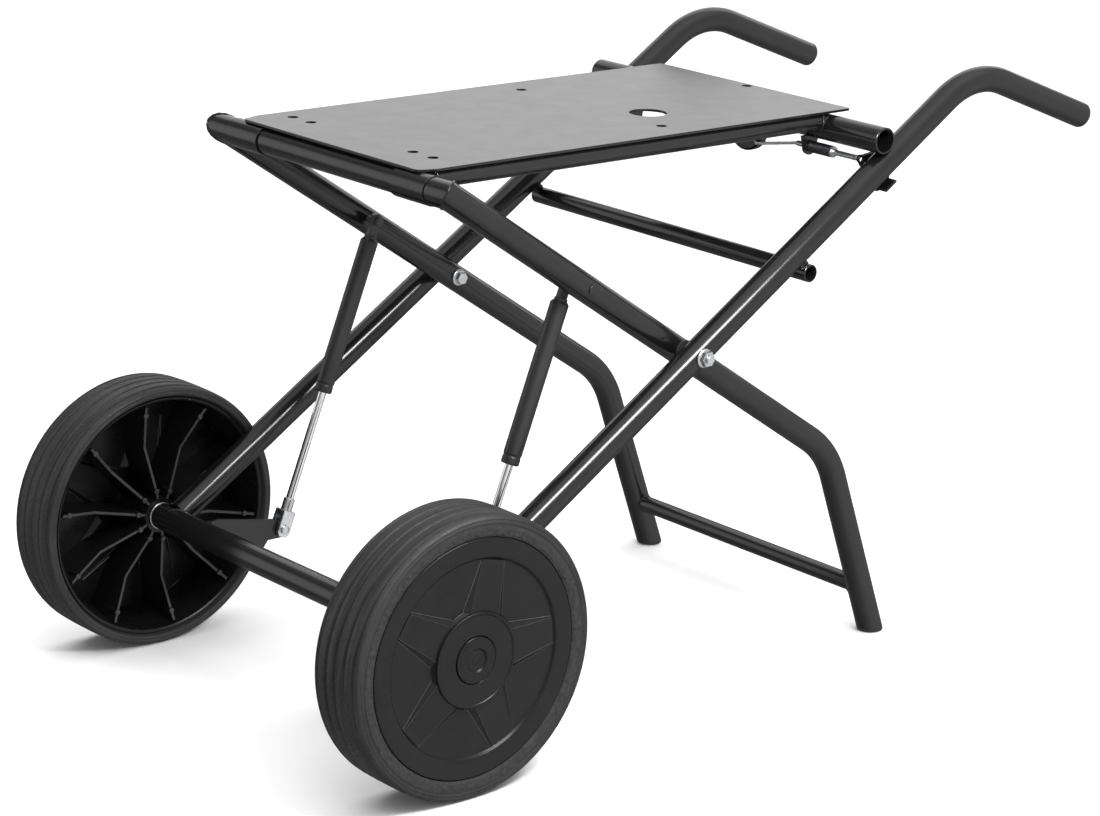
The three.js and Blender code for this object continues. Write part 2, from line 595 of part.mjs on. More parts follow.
function addWheel(side, sign) {
  const place = geometry => (sign > 0 ? geometry : geometry.rotateZ(Math.PI));
  addPiece(`tyre_${side}`, place(tyre()), TYRE_RUBBER);
  addPiece(`wheel_hub_${side}`, place(wheelHub()), HUB_PLASTIC);
  const face = TYRE_OUTER_Y;
  const cap = [[0, face - 8], [24.4, face - 8], [24.8, face - 0.4], [20, face + 0.9], [15.5, face + 1.5]];
  cap.push([13.6, face + 1.6], [12.2, face + 0.4], [0, face - 0.9]);
  addPiece(`hub_cap_${side}`, place(turned(cap, undefined, 32)), HUB_PLASTIC);
}

function tyre() {
  const [a, b] = [TYRE_INNER_Y, TYRE_OUTER_Y];
  const profile = [[138.5, a + 3], [142, a], [148.5, a], [WHEEL_R, a + 3.6], [WHEEL_R, b - 3.6]];
  profile.push([148.5, b - 0.4], [141, b]);
  profile.push([131, b - 1.6], [129, b - 4], [132, b - 20], [134, a + 20], [138.5, a + 3]);
  return turned(profile, undefined, WHEEL_SEGMENTS);
}

/** A dished plastic wheel: a rim barrel, a face with a raised star and hub ring, a boss, and ribs behind. */
function wheelHub() {
  const [a, b] = [TYRE_INNER_Y, TYRE_OUTER_Y];
  const bore = AXLE_R + GAP;
  const face = b - FACE_DEPTH;
  const back = face - 5;
  const profile = [[bore, HUB_INNER_Y], [20, HUB_INNER_Y], [22, back], [124, back], [134.5, a + 5.5]];
  profile.push([138, a + 3.8], [133.5, a + 21], [131.5, b - 21], [128.4, b - 4.6], [128.2, b - 2.8]);
  profile.push([126.6, b - 1.9], [109, b - 2.6]);
  profile.push([105, face], [50.8, face], [50.2, b + 0.4], [48.2, b + 0.6], [46.6, b - 0.8], [25.2, b - 0.8]);
  profile.push([25.2, b - 9], [bore, b - 9], [bore, HUB_INNER_Y]);
  const details = [];
  const turn = (steps) => steps * 2 * Math.PI;
  for (let i = 0; i < RIB_COUNT; i++) details.push(rib(back).rotateY(turn((i + 0.25) / RIB_COUNT)));
  for (let i = 0; i < ARM_COUNT; i++) details.push(starArm(face).rotateY(turn(i / ARM_COUNT + 5 / 360)));
  return join(turned(profile, undefined, WHEEL_SEGMENTS), ...details);
}

/** One arm of the star on the outer face, which tapers from the hub ring to the rim. */
function starArm(face) {
  const outline = [[49, 22], [105.5, 14], [105.5, -14], [49, -22]];
  const shape = new THREE.Shape(outline.map(([x, y]) => new THREE.Vector2(x, y)));
  const arm = new THREE.ExtrudeGeometry(shape, { depth: 3, bevelEnabled: false });
  return arm.rotateX(-Math.PI / 2).translate(0, face - 1, 0);
}

/** One radial rib on the back of the hub's disc, from the boss to the rim barrel. */
function rib(back) {
  const crest = back - RIB_HEIGHT;
  const outline = [[18, back + 2], [18, crest], [127.6, crest], [125.6, back + 2]];
  const shape = new THREE.Shape(outline.map(([x, y]) => new THREE.Vector2(x, y)));
  return new THREE.ExtrudeGeometry(shape, { depth: 3, bevelEnabled: false }).translate(0, 0, -1.5);
}

// ---- Assembly ----

addAxle();
addCrossbar();
for (const [side, sign] of SIDE_NAMES) {
  addHandle(side, sign);
  addSpringBracket(side, sign);
  addCatchPlate(side, sign);
  addLeg(side, sign);
  addFoot(side, sign);
  addPivotBolt(side, sign);
  addGasSpring(side, sign);
  addWheel(side, sign);
}
addLegBars();
addPlate();
addPlateFrame();
addLatch();

const box = new THREE.Box3().setFromObject(stand, true);
stand.position.set(-(box.min.x + box.max.x) / 2, 0, WHEEL_R);

export default part;
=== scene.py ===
"""Looks of a folding wheeled machine stand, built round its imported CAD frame.

Every piece is modelled in millimetres about the axle's centre, as the CAD is, and then placed in the
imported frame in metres.
"""
import math
import random

import bmesh
import bpy
from mathutils import Matrix, Vector


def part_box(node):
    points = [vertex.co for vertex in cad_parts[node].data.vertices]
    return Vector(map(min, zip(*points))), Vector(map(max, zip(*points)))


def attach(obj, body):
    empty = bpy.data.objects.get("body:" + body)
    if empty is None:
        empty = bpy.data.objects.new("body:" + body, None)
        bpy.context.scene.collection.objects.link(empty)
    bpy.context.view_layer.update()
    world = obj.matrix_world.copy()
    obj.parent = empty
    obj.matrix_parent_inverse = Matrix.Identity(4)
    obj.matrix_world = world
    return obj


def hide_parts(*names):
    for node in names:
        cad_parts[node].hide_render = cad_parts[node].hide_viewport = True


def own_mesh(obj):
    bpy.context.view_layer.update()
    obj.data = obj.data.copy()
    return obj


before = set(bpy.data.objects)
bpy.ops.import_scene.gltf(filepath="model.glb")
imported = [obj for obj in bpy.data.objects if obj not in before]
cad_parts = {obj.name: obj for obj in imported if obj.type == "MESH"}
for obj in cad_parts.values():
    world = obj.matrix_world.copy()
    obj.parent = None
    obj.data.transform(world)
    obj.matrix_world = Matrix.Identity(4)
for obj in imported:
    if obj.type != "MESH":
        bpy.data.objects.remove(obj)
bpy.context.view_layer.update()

MM = 0.001
X, Y, Z = Vector((1, 0, 0)), Vector((0, 1, 0)), Vector((0, 0, 1))
CENTRE = Vector((0, 0, 0))
SIDE_NAMES = (("left", -1), ("right", 1))
beam_low, beam_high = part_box("axle_beam")
AXLE = (beam_low + beam_high) / 2

# ---- Sizes, as in the CAD ----
SLOPE = math.radians(33.2)
TUBE_R, TUBE_WALL = 15, 2.2
SMALL_R, SMALL_WALL = 10, 1.8
HANDLE_Y, LEG_Y, SPRING_Y = 227, 195, 166.4
WHEEL_R, TYRE_IN, TYRE_OUT = 152, 244.5, 318.5
# Facets round a main tube, a small tube and a wheel.
TUBE_SIDES, SMALL_SIDES, WHEEL_SIDES = 56, 40, 192


def along(distance, angle, origin=(0, 0)):
    return origin[0] + distance * math.cos(angle), origin[1] + distance * math.sin(angle)


def on_handle(distance, offset=0):
    return along(offset, SLOPE + math.pi / 2, along(distance, SLOPE))


PIVOT = on_handle(440.3)
LEG_TOP = along(381.5, math.pi - SLOPE, PIVOT)
EYE = along(159.5, math.pi - SLOPE, PIVOT)
REST = on_handle(772.7, 2 * TUBE_R + 0.3)
CROSSBAR = on_handle(614, -(TUBE_R + 6 + SMALL_R))
FOOT_PIN = (106, -12)
PIN = (REST[0] - 5, REST[1] - 25)


def point(xz, y):
    return Vector((xz[0], y, xz[1]))


# ---- Materials ----


class Nodes:
    """A material's node tree with short ways to add to it."""

    def __init__(self, name):
        self.material = bpy.data.materials.new(name)
        self.material.use_nodes = True
        self.tree = self.material.node_tree
        self.shader = self.tree.nodes["Principled BSDF"]
        self.place = self.tree.nodes.new("ShaderNodeTexCoord").outputs["Object"]

    def link(self, a, b):
        self.tree.links.new(a, b)

    def noise(self, scale, detail=3.0, rough=0.55, stretch=None):
        node = self.tree.nodes.new("ShaderNodeTexNoise")
        node.inputs["Scale"].default_value = scale
        node.inputs["Detail"].default_value = detail
        node.inputs["Roughness"].default_value = rough
        place = self.place
        if stretch:
            mapping = self.tree.nodes.new("ShaderNodeMapping")
            mapping.inputs["Scale"].default_value = stretch
            self.link(self.place, mapping.inputs["Vector"])
            place = mapping.outputs["Vector"]
        self.link(place, node.inputs["Vector"])
        return node.outputs["Fac"]

    def ramp(self, value, low, high, colours):
        node = self.tree.nodes.new("ShaderNodeValToRGB")
        node.color_ramp.elements[0].position = low
        node.color_ramp.elements[1].position = high
        for element, colour in zip(node.color_ramp.elements, colours):
            element.color = (*colour, 1)
        self.link(value, node.inputs["Fac"])
        return node.outputs["Color"]

    def spread(self, value, low, high, start=0.3, end=0.7):
        node = self.tree.nodes.new("ShaderNodeMapRange")
        node.inputs["From Min"].default_value = start
        node.inputs["From Max"].default_value = end
        node.inputs["To Min"].default_value = low
        node.inputs["To Max"].default_value = high
        self.link(value, node.inputs["Value"])
        return node.outputs["Result"]

    def mix(self, share, a, b):
        node = self.tree.nodes.new("ShaderNodeMix")
        node.data_type = "RGBA"
        sockets = [s for s in node.inputs if s.type == "RGBA"]
        factor = node.inputs["Factor"]
        for socket, value in ((factor, share), (sockets[0], a), (sockets[1], b)):
            if isinstance(value, (tuple, float, int)):
                socket.default_value = (*value, 1) if isinstance(value, tuple) else value
            else:
                self.link(value, socket)
        return [s for s in node.outputs if s.type == "RGBA"][0]

    def crests(self, low, high):
        """1 on sharp outward edges and 0 on flat faces."""
        geometry = self.tree.nodes.new("ShaderNodeNewGeometry")
        return self.spread(geometry.outputs["Pointiness"], 0, 1, low, high)

    def bump(self, height, strength, distance, normal=None):
        node = self.tree.nodes.new("ShaderNodeBump")
        node.inputs["Strength"].default_value = strength
        node.inputs["Distance"].default_value = distance
        self.link(height, node.inputs["Height"])
        if normal:
            self.link(normal, node.inputs["Normal"])
        return node.outputs["Normal"]

    def surface(self, colour, roughness, normal=None, **fixed):
        self.link(colour, self.shader.inputs["Base Color"])
        self.link(roughness, self.shader.inputs["Roughness"])
        if normal:
            self.link(normal, self.shader.inputs["Normal"])
        for name, value in fixed.items():
            self.shader.inputs[name.replace("_", " ")].default_value = value
        return self.material


DUST = (0.05, 0.05, 0.052)
# A lighter plastic colour that the star's sharp edges are lightened to: a painted highlight along its edges.
EDGE_HIGHLIGHT_PLASTIC = (0.06, 0.06, 0.062)
PLASTIC_IOR = 1.33
PLASTIC_GRAIN = 1100


def powder_coat(name, dark, light, rough, peel, ior=1.5, coat=0.0):
    """Baked powder paint: a fine orange peel, faint dust and a few softer patches."""
    n = Nodes(name)
    cloud = n.noise(14, 4)
    dust = n.noise(220, 2, 0.7)
    paint = n.ramp(cloud, 0.3, 0.75, (dark, light))
    colour = n.mix(n.spread(dust, 0, 0.25, 0.64, 0.8), paint, DUST)
    roughness = n.spread(n.noise(38, 3), *rough)
    normal = n.bump(n.noise(640, 2), peel, 0.0006)
    normal = n.bump(n.noise(90, 2), peel * 0.5, 0.001, normal)
    return n.surface(colour, roughness, normal, Metallic=0.0, IOR=ior, Coat_Weight=coat, Coat_Roughness=0.2)


def metal(name, dark, light, rough, stretch=(1, 1, 1), grain=500):
    """Bare or plated metal with a fine grain, which stretch turns into streaks."""
    n = Nodes(name)
    colour = n.ramp(n.noise(60, 4, 0.6), 0.3, 0.7, (dark, light))
    streak = n.noise(grain, 3, 0.6, stretch)
    roughness = n.spread(streak, *rough)
    normal = n.bump(streak, 0.05, 0.0003)
    return n.surface(colour, roughness, normal, Metallic=1.0)


def moulded(name, dark, light, rough, grain, strength, cloud, ior=1.45, stretch=(1, 1, 1), edge_highlight=None):
    """Moulded plastic or rubber with a fine spark-eroded grain; given a highlight colour, its sharp edges are
    lightened to it as a painted highlight.
    """
    n = Nodes(name)
    colour = n.ramp(n.noise(cloud, 5, 0.6, stretch), 0.3, 0.72, (dark, light))
    # Sharp edges, found by pointiness, are lightened: a painted highlight.
    if edge_highlight:
        colour = n.mix(n.crests(0.53, 0.62), colour, edge_highlight)
    roughness = n.spread(n.noise(cloud * 2, 3), *rough)
    normal = n.bump(n.noise(grain, 3, 0.6), strength, 0.0004)
    return n.surface(colour, roughness, normal, IOR=ior)


COAT = powder_coat("powder_coat", (0.005, 0.005, 0.0052), (0.008, 0.008, 0.0084), (0.15, 0.2), 0.01)
# A lighter, rougher copy of the black powder coat for the spring eyes: the lighter tone is painted light on
# the lugs, the roughness gives a satin finish.
PAINTED_LIGHT_SATIN = powder_coat("satin_coat", (0.022, 0.022, 0.023), (0.032, 0.032, 0.033), (0.4, 0.5), 0.03)
PLATE = powder_coat("plate_coat", (0.046, 0.046, 0.047), (0.052, 0.052, 0.053), (0.33, 0.37), 0.02, 1.6, 0.15)
ZINC = metal("zinc_plate", (0.50, 0.51, 0.52), (0.72, 0.73, 0.75), (0.2, 0.42))
SPRING_STEEL = metal("spring_steel", (0.03, 0.03, 0.032), (0.07, 0.07, 0.073), (0.3, 0.5))
CHROME = metal("chrome_rod", (0.74, 0.75, 0.77), (0.86, 0.87, 0.88), (0.05, 0.14), (1, 1, 0.05), 900)
CYLINDER = powder_coat("cylinder_paint", (0.010, 0.010, 0.0105), (0.016, 0.016, 0.0165), (0.34, 0.46), 0.03)
RUBBER = moulded("tyre_rubber", (0.006, 0.006, 0.0065), (0.027, 0.027, 0.028), (0.45, 0.7), 420, 0.5, 160,
                 stretch=(0.06, 1, 0.06))
SIDEWALL = moulded("tyre_sidewall", (0.006, 0.006, 0.0065), (0.032, 0.032, 0.033), (0.55, 0.85), 420, 1.0,
                   220)
HUB = moulded("hub_plastic", (0.0045, 0.0045, 0.0047), (0.008, 0.008, 0.0084), (0.24, 0.34),
              PLASTIC_GRAIN, 0.06, 18, PLASTIC_IOR)
# The star's plastic, with a painted highlight along its sharp edges.
STAR = moulded("star_plastic", (0.0045, 0.0045, 0.0047), (0.008, 0.008, 0.0084), (0.24, 0.34),
               PLASTIC_GRAIN, 0.06, 18, PLASTIC_IOR, edge_highlight=EDGE_HIGHLIGHT_PLASTIC)
RIB = moulded("rib_plastic", (0.004, 0.004, 0.0042), (0.007, 0.007, 0.0074), (0.3, 0.42),
              PLASTIC_GRAIN, 0.06, 18, 1.2)
# A much lighter copy of the rib plastic for the ribs' crest faces: a painted highlight.
CREST_HIGHLIGHT = moulded("crest_plastic", (0.03, 0.03, 0.031), (0.042, 0.042, 0.043), (0.3, 0.42),
                PLASTIC_GRAIN, 0.06, 18, PLASTIC_IOR)
CAP = moulded("cap_plastic", (0.004, 0.004, 0.0042), (0.007, 0.007, 0.0074), (0.2, 0.3), 900, 0.05, 40,
              PLASTIC_IOR)
NYLON = moulded("nylon", (0.014, 0.014, 0.015), (0.022, 0.022, 0.023), (0.45, 0.6), 900, 0.15, 60)

# ---- Building blocks ----


def soften(points, radius, closed=False, steps=3):
    """A 2-D outline with its corners rounded."""
    result = []
    count = len(points)
    for i, corner in enumerate(points):
        if not closed and i in (0, count - 1):
            result.append(tuple(corner))
            continue
        here = Vector(corner)
        before, after = Vector(points[i - 1]) - here, Vector(points[(i + 1) % count]) - here
        reach = min(radius, before.length * 0.45, after.length * 0.45)
        if reach < 1e-4:
            result.append(tuple(corner))
            continue
        a, b = here + before.normalized() * reach, here + after.normalized() * reach
        for k in range(steps + 1):
            t = k / steps
            result.append(tuple((a * (1 - t) + here * t).lerp(here * (1 - t) + b * t, t)))
    return result


def ring(centre, direction, radius, sides, across=None):
    """A ring of points round a direction."""
    if across is None:
        across = Y if abs(direction.normalized().dot(Y)) < 0.9 else X
    u = (across - direction * across.dot(direction) / direction.length_squared).normalized()
    v = direction.normalized().cross(u)
    if radius < 1e-6:
        return [centre.copy()]
    turn = 2 * math.pi / sides
    return [centre + (u * math.cos(turn * i) + v * math.sin(turn * i)) * radius for i in range(sides)]


class Shape:
    """A mesh in the making, in millimetres about the axle's centre."""

    def __init__(self):
        self.bm = bmesh.new()

    def loft(self, rings, closed=False):
        """Joins rings of equal count into a skin. A ring of one point is a pole."""
        made = [[self.bm.verts.new(p) for p in each] for each in rings]
        pairs = list(zip(made, made[1:])) + ([(made[-1], made[0])] if closed else [])
        for a, b in pairs:
            for i in range(max(len(a), len(b))):
                j = (i + 1) % max(len(a), len(b))
                corners = [a[i % len(a)], a[j % len(a)], b[j % len(b)], b[i % len(b)]]
                unique = list(dict.fromkeys(corners))
                if len(unique) > 2:
                    self.bm.faces.new(unique)
        if not closed:
            for end in (made[0], made[-1]):
                if len(end) > 2:
                    self.bm.faces.new(end)
        return self

    def turn(self, profile, origin, direction, sides, closed=False):
        """A solid of revolution. profile is a list of (radius, distance along the direction)."""
        rings = [ring(origin + direction * d, direction, max(r, 0), sides) for r, d in profile]
        return self.loft(rings, closed)

    def tube(self, stations, outer, inner=0, sides=40, edge=0.6):
        """A round tube through stations of (point, direction), hollow if it has an inner radius."""
        first, last = stations[0], stations[-1]
        skin = [(first[0], first[1], outer - edge), (first[0] + first[1] * edge, first[1], outer)]
        skin += [(p, d, outer) for p, d in stations[1:-1]]
        skin += [(last[0] - last[1] * edge, last[1], outer), (last[0], last[1], outer - edge)]
        if inner:
            bore = [(p, d, inner) for p, d in stations]
            bore[0] = (first[0] + first[1] * 0.1, first[1], inner)
            skin += reversed(bore)
        rings = [ring(p, d, r, sides) for p, d, r in skin]
        return self.loft(rings, closed=bool(inner))

    def box(self, low, high, edge=0.8, matrix=None):
        """A block with eased edges."""
        made = bmesh.ops.create_cube(self.bm, size=1)["verts"]
        size, middle = Vector(high) - Vector(low), (Vector(high) + Vector(low)) / 2
        for v in made:
            v.co = Vector(a * b for a, b in zip(v.co, size)) + middle
        edges = list(dict.fromkeys(e for v in made for e in v.link_edges))
        done = bmesh.ops.bevel(self.bm, geom=edges, offset=edge, segments=3, profile=0.5, affect="EDGES")
        if matrix:
            everything = {v for f in done["faces"] for v in f.verts}
            everything |= {v for v in made if v.is_valid}
            for f in list(self.bm.faces):
                if everything.intersection(f.verts):
                    everything.update(f.verts)
            bmesh.ops.transform(self.bm, matrix=matrix, verts=list(everything))
        return self

    def add(self, mesh):
        self.bm.from_mesh(mesh)
        return self

    def done(self, name, material, body, nodes=(), slot=None, sharp=32):
        """Turns the mesh into a named piece that rides on a body and may replace CAD nodes."""
        bmesh.ops.recalc_face_normals(self.bm, faces=self.bm.faces)
        mesh = bpy.data.meshes.new(name)
        self.bm.to_mesh(mesh)
        self.bm.free()
        mesh.transform(Matrix.Translation(AXLE) @ Matrix.Scale(MM, 4))
        mesh.materials.append(material)
        mesh.shade_smooth()
        mesh.set_sharp_from_angle(angle=math.radians(sharp))
        obj = bpy.data.objects.new(name, mesh)
        bpy.context.scene.collection.objects.link(obj)
        weighted = obj.modifiers.new("weighted_normals", "WEIGHTED_NORMAL")
        weighted.keep_sharp = True
        if nodes:
            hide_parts(*nodes)
        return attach(obj, body)


def sheet_metal(outline, holes, thickness, matrix, edge, round_corners=0):
    """A flat plate with holes and eased edges, as a mesh. Its outline lies in the matrix's XY plane."""
    curve = bpy.data.curves.new("outline", "CURVE")
    curve.dimensions = "2D"
    curve.fill_mode = "BOTH"
    curve.extrude = thickness / 2 - edge
    curve.bevel_depth = edge
    curve.bevel_resolution = 2
    curve.offset = -edge
    for loop in [soften(outline, round_corners, True, 5) if round_corners else outline, *holes]:
        spline = curve.splines.new("POLY")
        spline.points.add(len(loop) - 1)
        for p, (x, y) in zip(spline.points, loop):
            p.co = (x, y, 0, 1)
        spline.use_cyclic_u = True
    obj = bpy.data.objects.new("outline", curve)
    bpy.context.scene.collection.objects.link(obj)
    mesh = bpy.data.meshes.new_from_object(obj.evaluated_get(bpy.context.evaluated_depsgraph_get()))
    bpy.data.objects.remove(obj)
    welded = bmesh.new()
    welded.from_mesh(mesh)
    bmesh.ops.remove_doubles(welded, verts=welded.verts, dist=0.01)
    welded.to_mesh(mesh)
    welded.free()
    mesh.transform(matrix)
    return mesh


def arc(x, y, radius, angles):
    return [(x + radius * math.cos(a), y + radius * math.sin(a)) for a in angles]


def disc(x, y, radius, count):
    return arc(x, y, radius, [2 * math.pi * i / count for i in range(count)])


def lower_half(steps):
    """Angles round the lower half of a circle, without its two ends."""
    return [math.pi + i * math.pi / steps for i in range(1, steps)]


def side_matrix(y):
    """Stands an outline drawn in XZ upright at that y."""
    return Matrix(((1, 0, 0, 0), (0, 0, -1, y), (0, 1, 0, 0), (0, 0, 0, 1)))


def heading_vector(angle):
    return Vector((math.cos(angle), 0, math.sin(angle)))


def route(start, heading, y, *legs):
    """Stations along a bent tube in an XZ plane: a leg is a length, or (radius, turn) for a bend."""
    x, z = start
    stations = [(Vector((x, y, z)), heading_vector(heading))]
    for leg in legs:
        if isinstance(leg, tuple):
            radius, turn = leg
            side = math.copysign(math.pi / 2, turn)
            centre = along(radius, heading + side, (x, z))
            steps = max(4, round(abs(turn) / math.radians(2.5)))
            for i in range(1, steps + 1):
                angle = heading + turn * i / steps
                x, z = along(-radius, angle + side, centre)
                stations.append((Vector((x, y, z)), heading_vector(angle)))
            heading += turn
        else:
            x, z = along(leg, heading, (x, z))
            stations.append((Vector((x, y, z)), heading_vector(heading)))
    return stations


def straight(a, b):
    direction = (b - a).normalized()
    return [(a, direction), (b, direction)]


def saddle(centre, branch, r, main, big):
    """Where a round branch of radius r, leaving centre, meets a round member of radius big."""
    count = 96
    u = main.cross(branch).normalized()
    v = branch.cross(u)
    curve = []
    for i in range(count):
        angle = 2 * math.pi * i / count
        w = (u * math.cos(angle) + v * math.sin(angle)) * r
        w_flat, b_flat = w - main * w.dot(main), branch - main * branch.dot(main)
        a, b, c = b_flat.length_squared, 2 * w_flat.dot(b_flat), w_flat.length_squared - big * big
        reach = (-b + math.sqrt(max(b * b - 4 * a * c, 0))) / (2 * a)
        curve.append(centre + w + branch * reach)
    return curve


def weld(name, paths, body, size, seed):
    """Weld beads that follow closed curves, with the ripple of a hand-laid seam."""
    random.seed(seed)
    shape = Shape()
    for path in paths:
        count = len(path)
        rings = []
        for i, p in enumerate(path):
            direction = (path[(i + 1) % count] - path[i - 1]).normalized()
            swell = 1 + 0.16 * math.sin(i * 1.9) + random.uniform(-0.08, 0.08)
            rings.append(ring(p, direction, size * swell, 8, Z if abs(direction.z) < 0.9 else X))
        shape.loft(rings, closed=True)
    return shape.done(name, COAT, body, slot="powder_coat", sharp=80)


# ---- Handle frame ----
GRIP_DROP = math.radians(21)
GRIP_BEND, GRIP_LENGTH, HANDLE_RUN, HANDLE_START = 103, 146, 869, 12
BEAM_HALF, BEAM_BORE = 248, 12.5


def handle(side, sign):
    y = sign * HANDLE_Y
    bend = (GRIP_BEND, -(SLOPE + GRIP_DROP))
    stations = route(along(HANDLE_START, SLOPE), SLOPE, y, HANDLE_RUN, bend, GRIP_LENGTH)
    Shape().tube(stations, TUBE_R, sides=TUBE_SIDES, edge=0.7).done(
        f"handle_{side}", COAT, "handle_frame", [f"handle_tube_{side}"], "powder_coat")
    end, direction = stations[-1]
    cap = soften([(0, -4), (11, -4), (11, 0.2), (14.9, 0.2), (14.9, 2.6), (12.5, 4.0), (0, 4.4)], 1.2)
    Shape().turn(cap, end, direction, TUBE_SIDES).done(
        f"grip_end_{side}", NYLON, "handle_frame", [f"grip_plug_{side}"], "black_plastic")
    seam = saddle(point((0, 0), y), heading_vector(SLOPE), TUBE_R, Y, TUBE_R)
    weld(f"handle_weld_{side}", [seam], "handle_frame", 1.8, 3 + sign)


def axle():
    Shape().tube(straight(Y * -BEAM_HALF, Y * BEAM_HALF), TUBE_R, BEAM_BORE, TUBE_SIDES).done(
        "axle_tube", COAT, "handle_frame", ["axle_beam"], "powder_coat")
    rod = soften([(0, -305.5), (9, -305.5), (10, -304.5), (10, 304.5), (9, 305.5), (0, 305.5)], 0.4)
    Shape().turn(rod, CENTRE, Y, 48).done("axle_shaft", ZINC, "handle_frame", ["axle_rod"], "zinc")
    for side, sign in SIDE_NAMES:
        loop = soften([(10.3, 248.3), (15.2, 248.3), (15.7, 248.8), (15.7, 249.8), (10.3, 249.8)], 0.3, True)
        Shape().turn([(r, sign * d) for r, d in loop], CENTRE, Y, TUBE_SIDES, True).done(
            f"thrust_washer_{side}", ZINC, "handle_frame", [f"axle_washer_{side}"], "zinc")


def spring_bracket(side, sign):
    x, z = FOOT_PIN
    outline = [(6, 12.5), (20, 15), (x - 3, z + 11)]
    outline += arc(x - 1, z, 11, [math.pi / 2 - i * math.pi / 14 for i in range(15)])
    outline += [(x - 19, z - 11), (x - 26, z - 20), (6, -12.5)]
    plate = sheet_metal(outline, [disc(x, z, 4.3, 24)], 5, side_matrix(sign * SPRING_Y), 0.8)
    Shape().add(plate).done(
        f"bracket_{side}", COAT, "handle_frame", [f"spring_bracket_{side}"], "powder_coat")
    beads = []
    for face in (-1, 1):
        y = sign * SPRING_Y + face * 3
        seam = [point(p, y) for p in arc(0, 0, 15.2, [math.radians(t) for t in range(-56, 57, 4)])]
        beads.append(seam + [p + Vector((0.6, face * 0.4, 0)) for p in reversed(seam)])
    weld(f"bracket_weld_{side}", beads, "handle_frame", 1.5, 11 + sign)
    clevis_pin(side, sign)


def clevis_pin(side, sign):
    y = sign * SPRING_Y
    centre = point(FOOT_PIN, y)
    profile = soften([(0, -10.5), (5, -10.5), (5, -9), (4, -9), (4, 9), (5, 9), (5, 10.5), (0, 10.5)], 0.5)
    shape = Shape().turn(profile, centre, Y, 32)
    clip = soften([(4.2, -11.6), (5.4, -11.6), (5.4, -12.3), (4.2, -12.3)], 0.2, True, 2)
    shape.turn(clip, centre, Y, 28, True)
    shape.done(f"fork_pin_{side}", ZINC, "handle_frame", [f"clevis_pin_{side}"], "zinc")


def crossbar():
    ends = straight(point(CROSSBAR, -234), point(CROSSBAR, 234))
    Shape().tube(ends, SMALL_R, SMALL_R - SMALL_WALL, SMALL_SIDES).done(
        "crossbar", COAT, "handle_frame", ["frame_crossbar"], "powder_coat")
    for side, sign in SIDE_NAMES:
        y = sign * HANDLE_Y
        turn = Matrix.Translation(point(CROSSBAR, y)) @ Matrix.Rotation(-SLOPE, 4, "Y")
        shape = Shape().box((-5.4, -3.4, 8.4), (5.4, 3.4, 17.5), 0.9, turn)
        shape.done(f"hanger_{side}", COAT, "handle_frame", [f"crossbar_tab_{side}"], "powder_coat")
        up = heading_vector(SLOPE + math.pi / 2)
        ahead = heading_vector(SLOPE)
        middle = point(CROSSBAR, y)
        oval = [middle + up * (9.8 + 0.6 * math.cos(2 * a)) + ahead * 6 * math.cos(a) + Y * 4.4 * math.sin(a)
                for a in [2 * math.pi * i / 40 for i in range(40)]]
        upper = [p + up * 6.4 for p in oval]
        weld(f"hanger_weld_{side}", [oval, upper], "handle_frame", 1.2, 17 + sign)


def catch_plate(side, sign):
    corners = [on_handle(s, n) for s, n in
               ((752, 14), (759, 13.4), (782, 2), (782, -30), (776, -37), (757, -37), (752, -31))]
    hole = [disc(*PIN, 4.8, 28)]
    y = sign * (HANDLE_Y - TUBE_R - 3.6)
    plate = sheet_metal(corners, hole, 4, side_matrix(y), 0.7, 2.5)
    flange = point(on_handle(757, -34), sign * (HANDLE_Y - TUBE_R + 5))
    turn = Matrix.Translation(flange) @ Matrix.Rotation(-SLOPE, 4, "Y")
    shape = Shape().add(plate).box((0, -8, -1.6), (19, 8, 1.6), 0.7, turn)
    shape.done(f"catch_{side}", COAT, "handle_frame", [f"catch_plate_{side}"], "powder_coat")


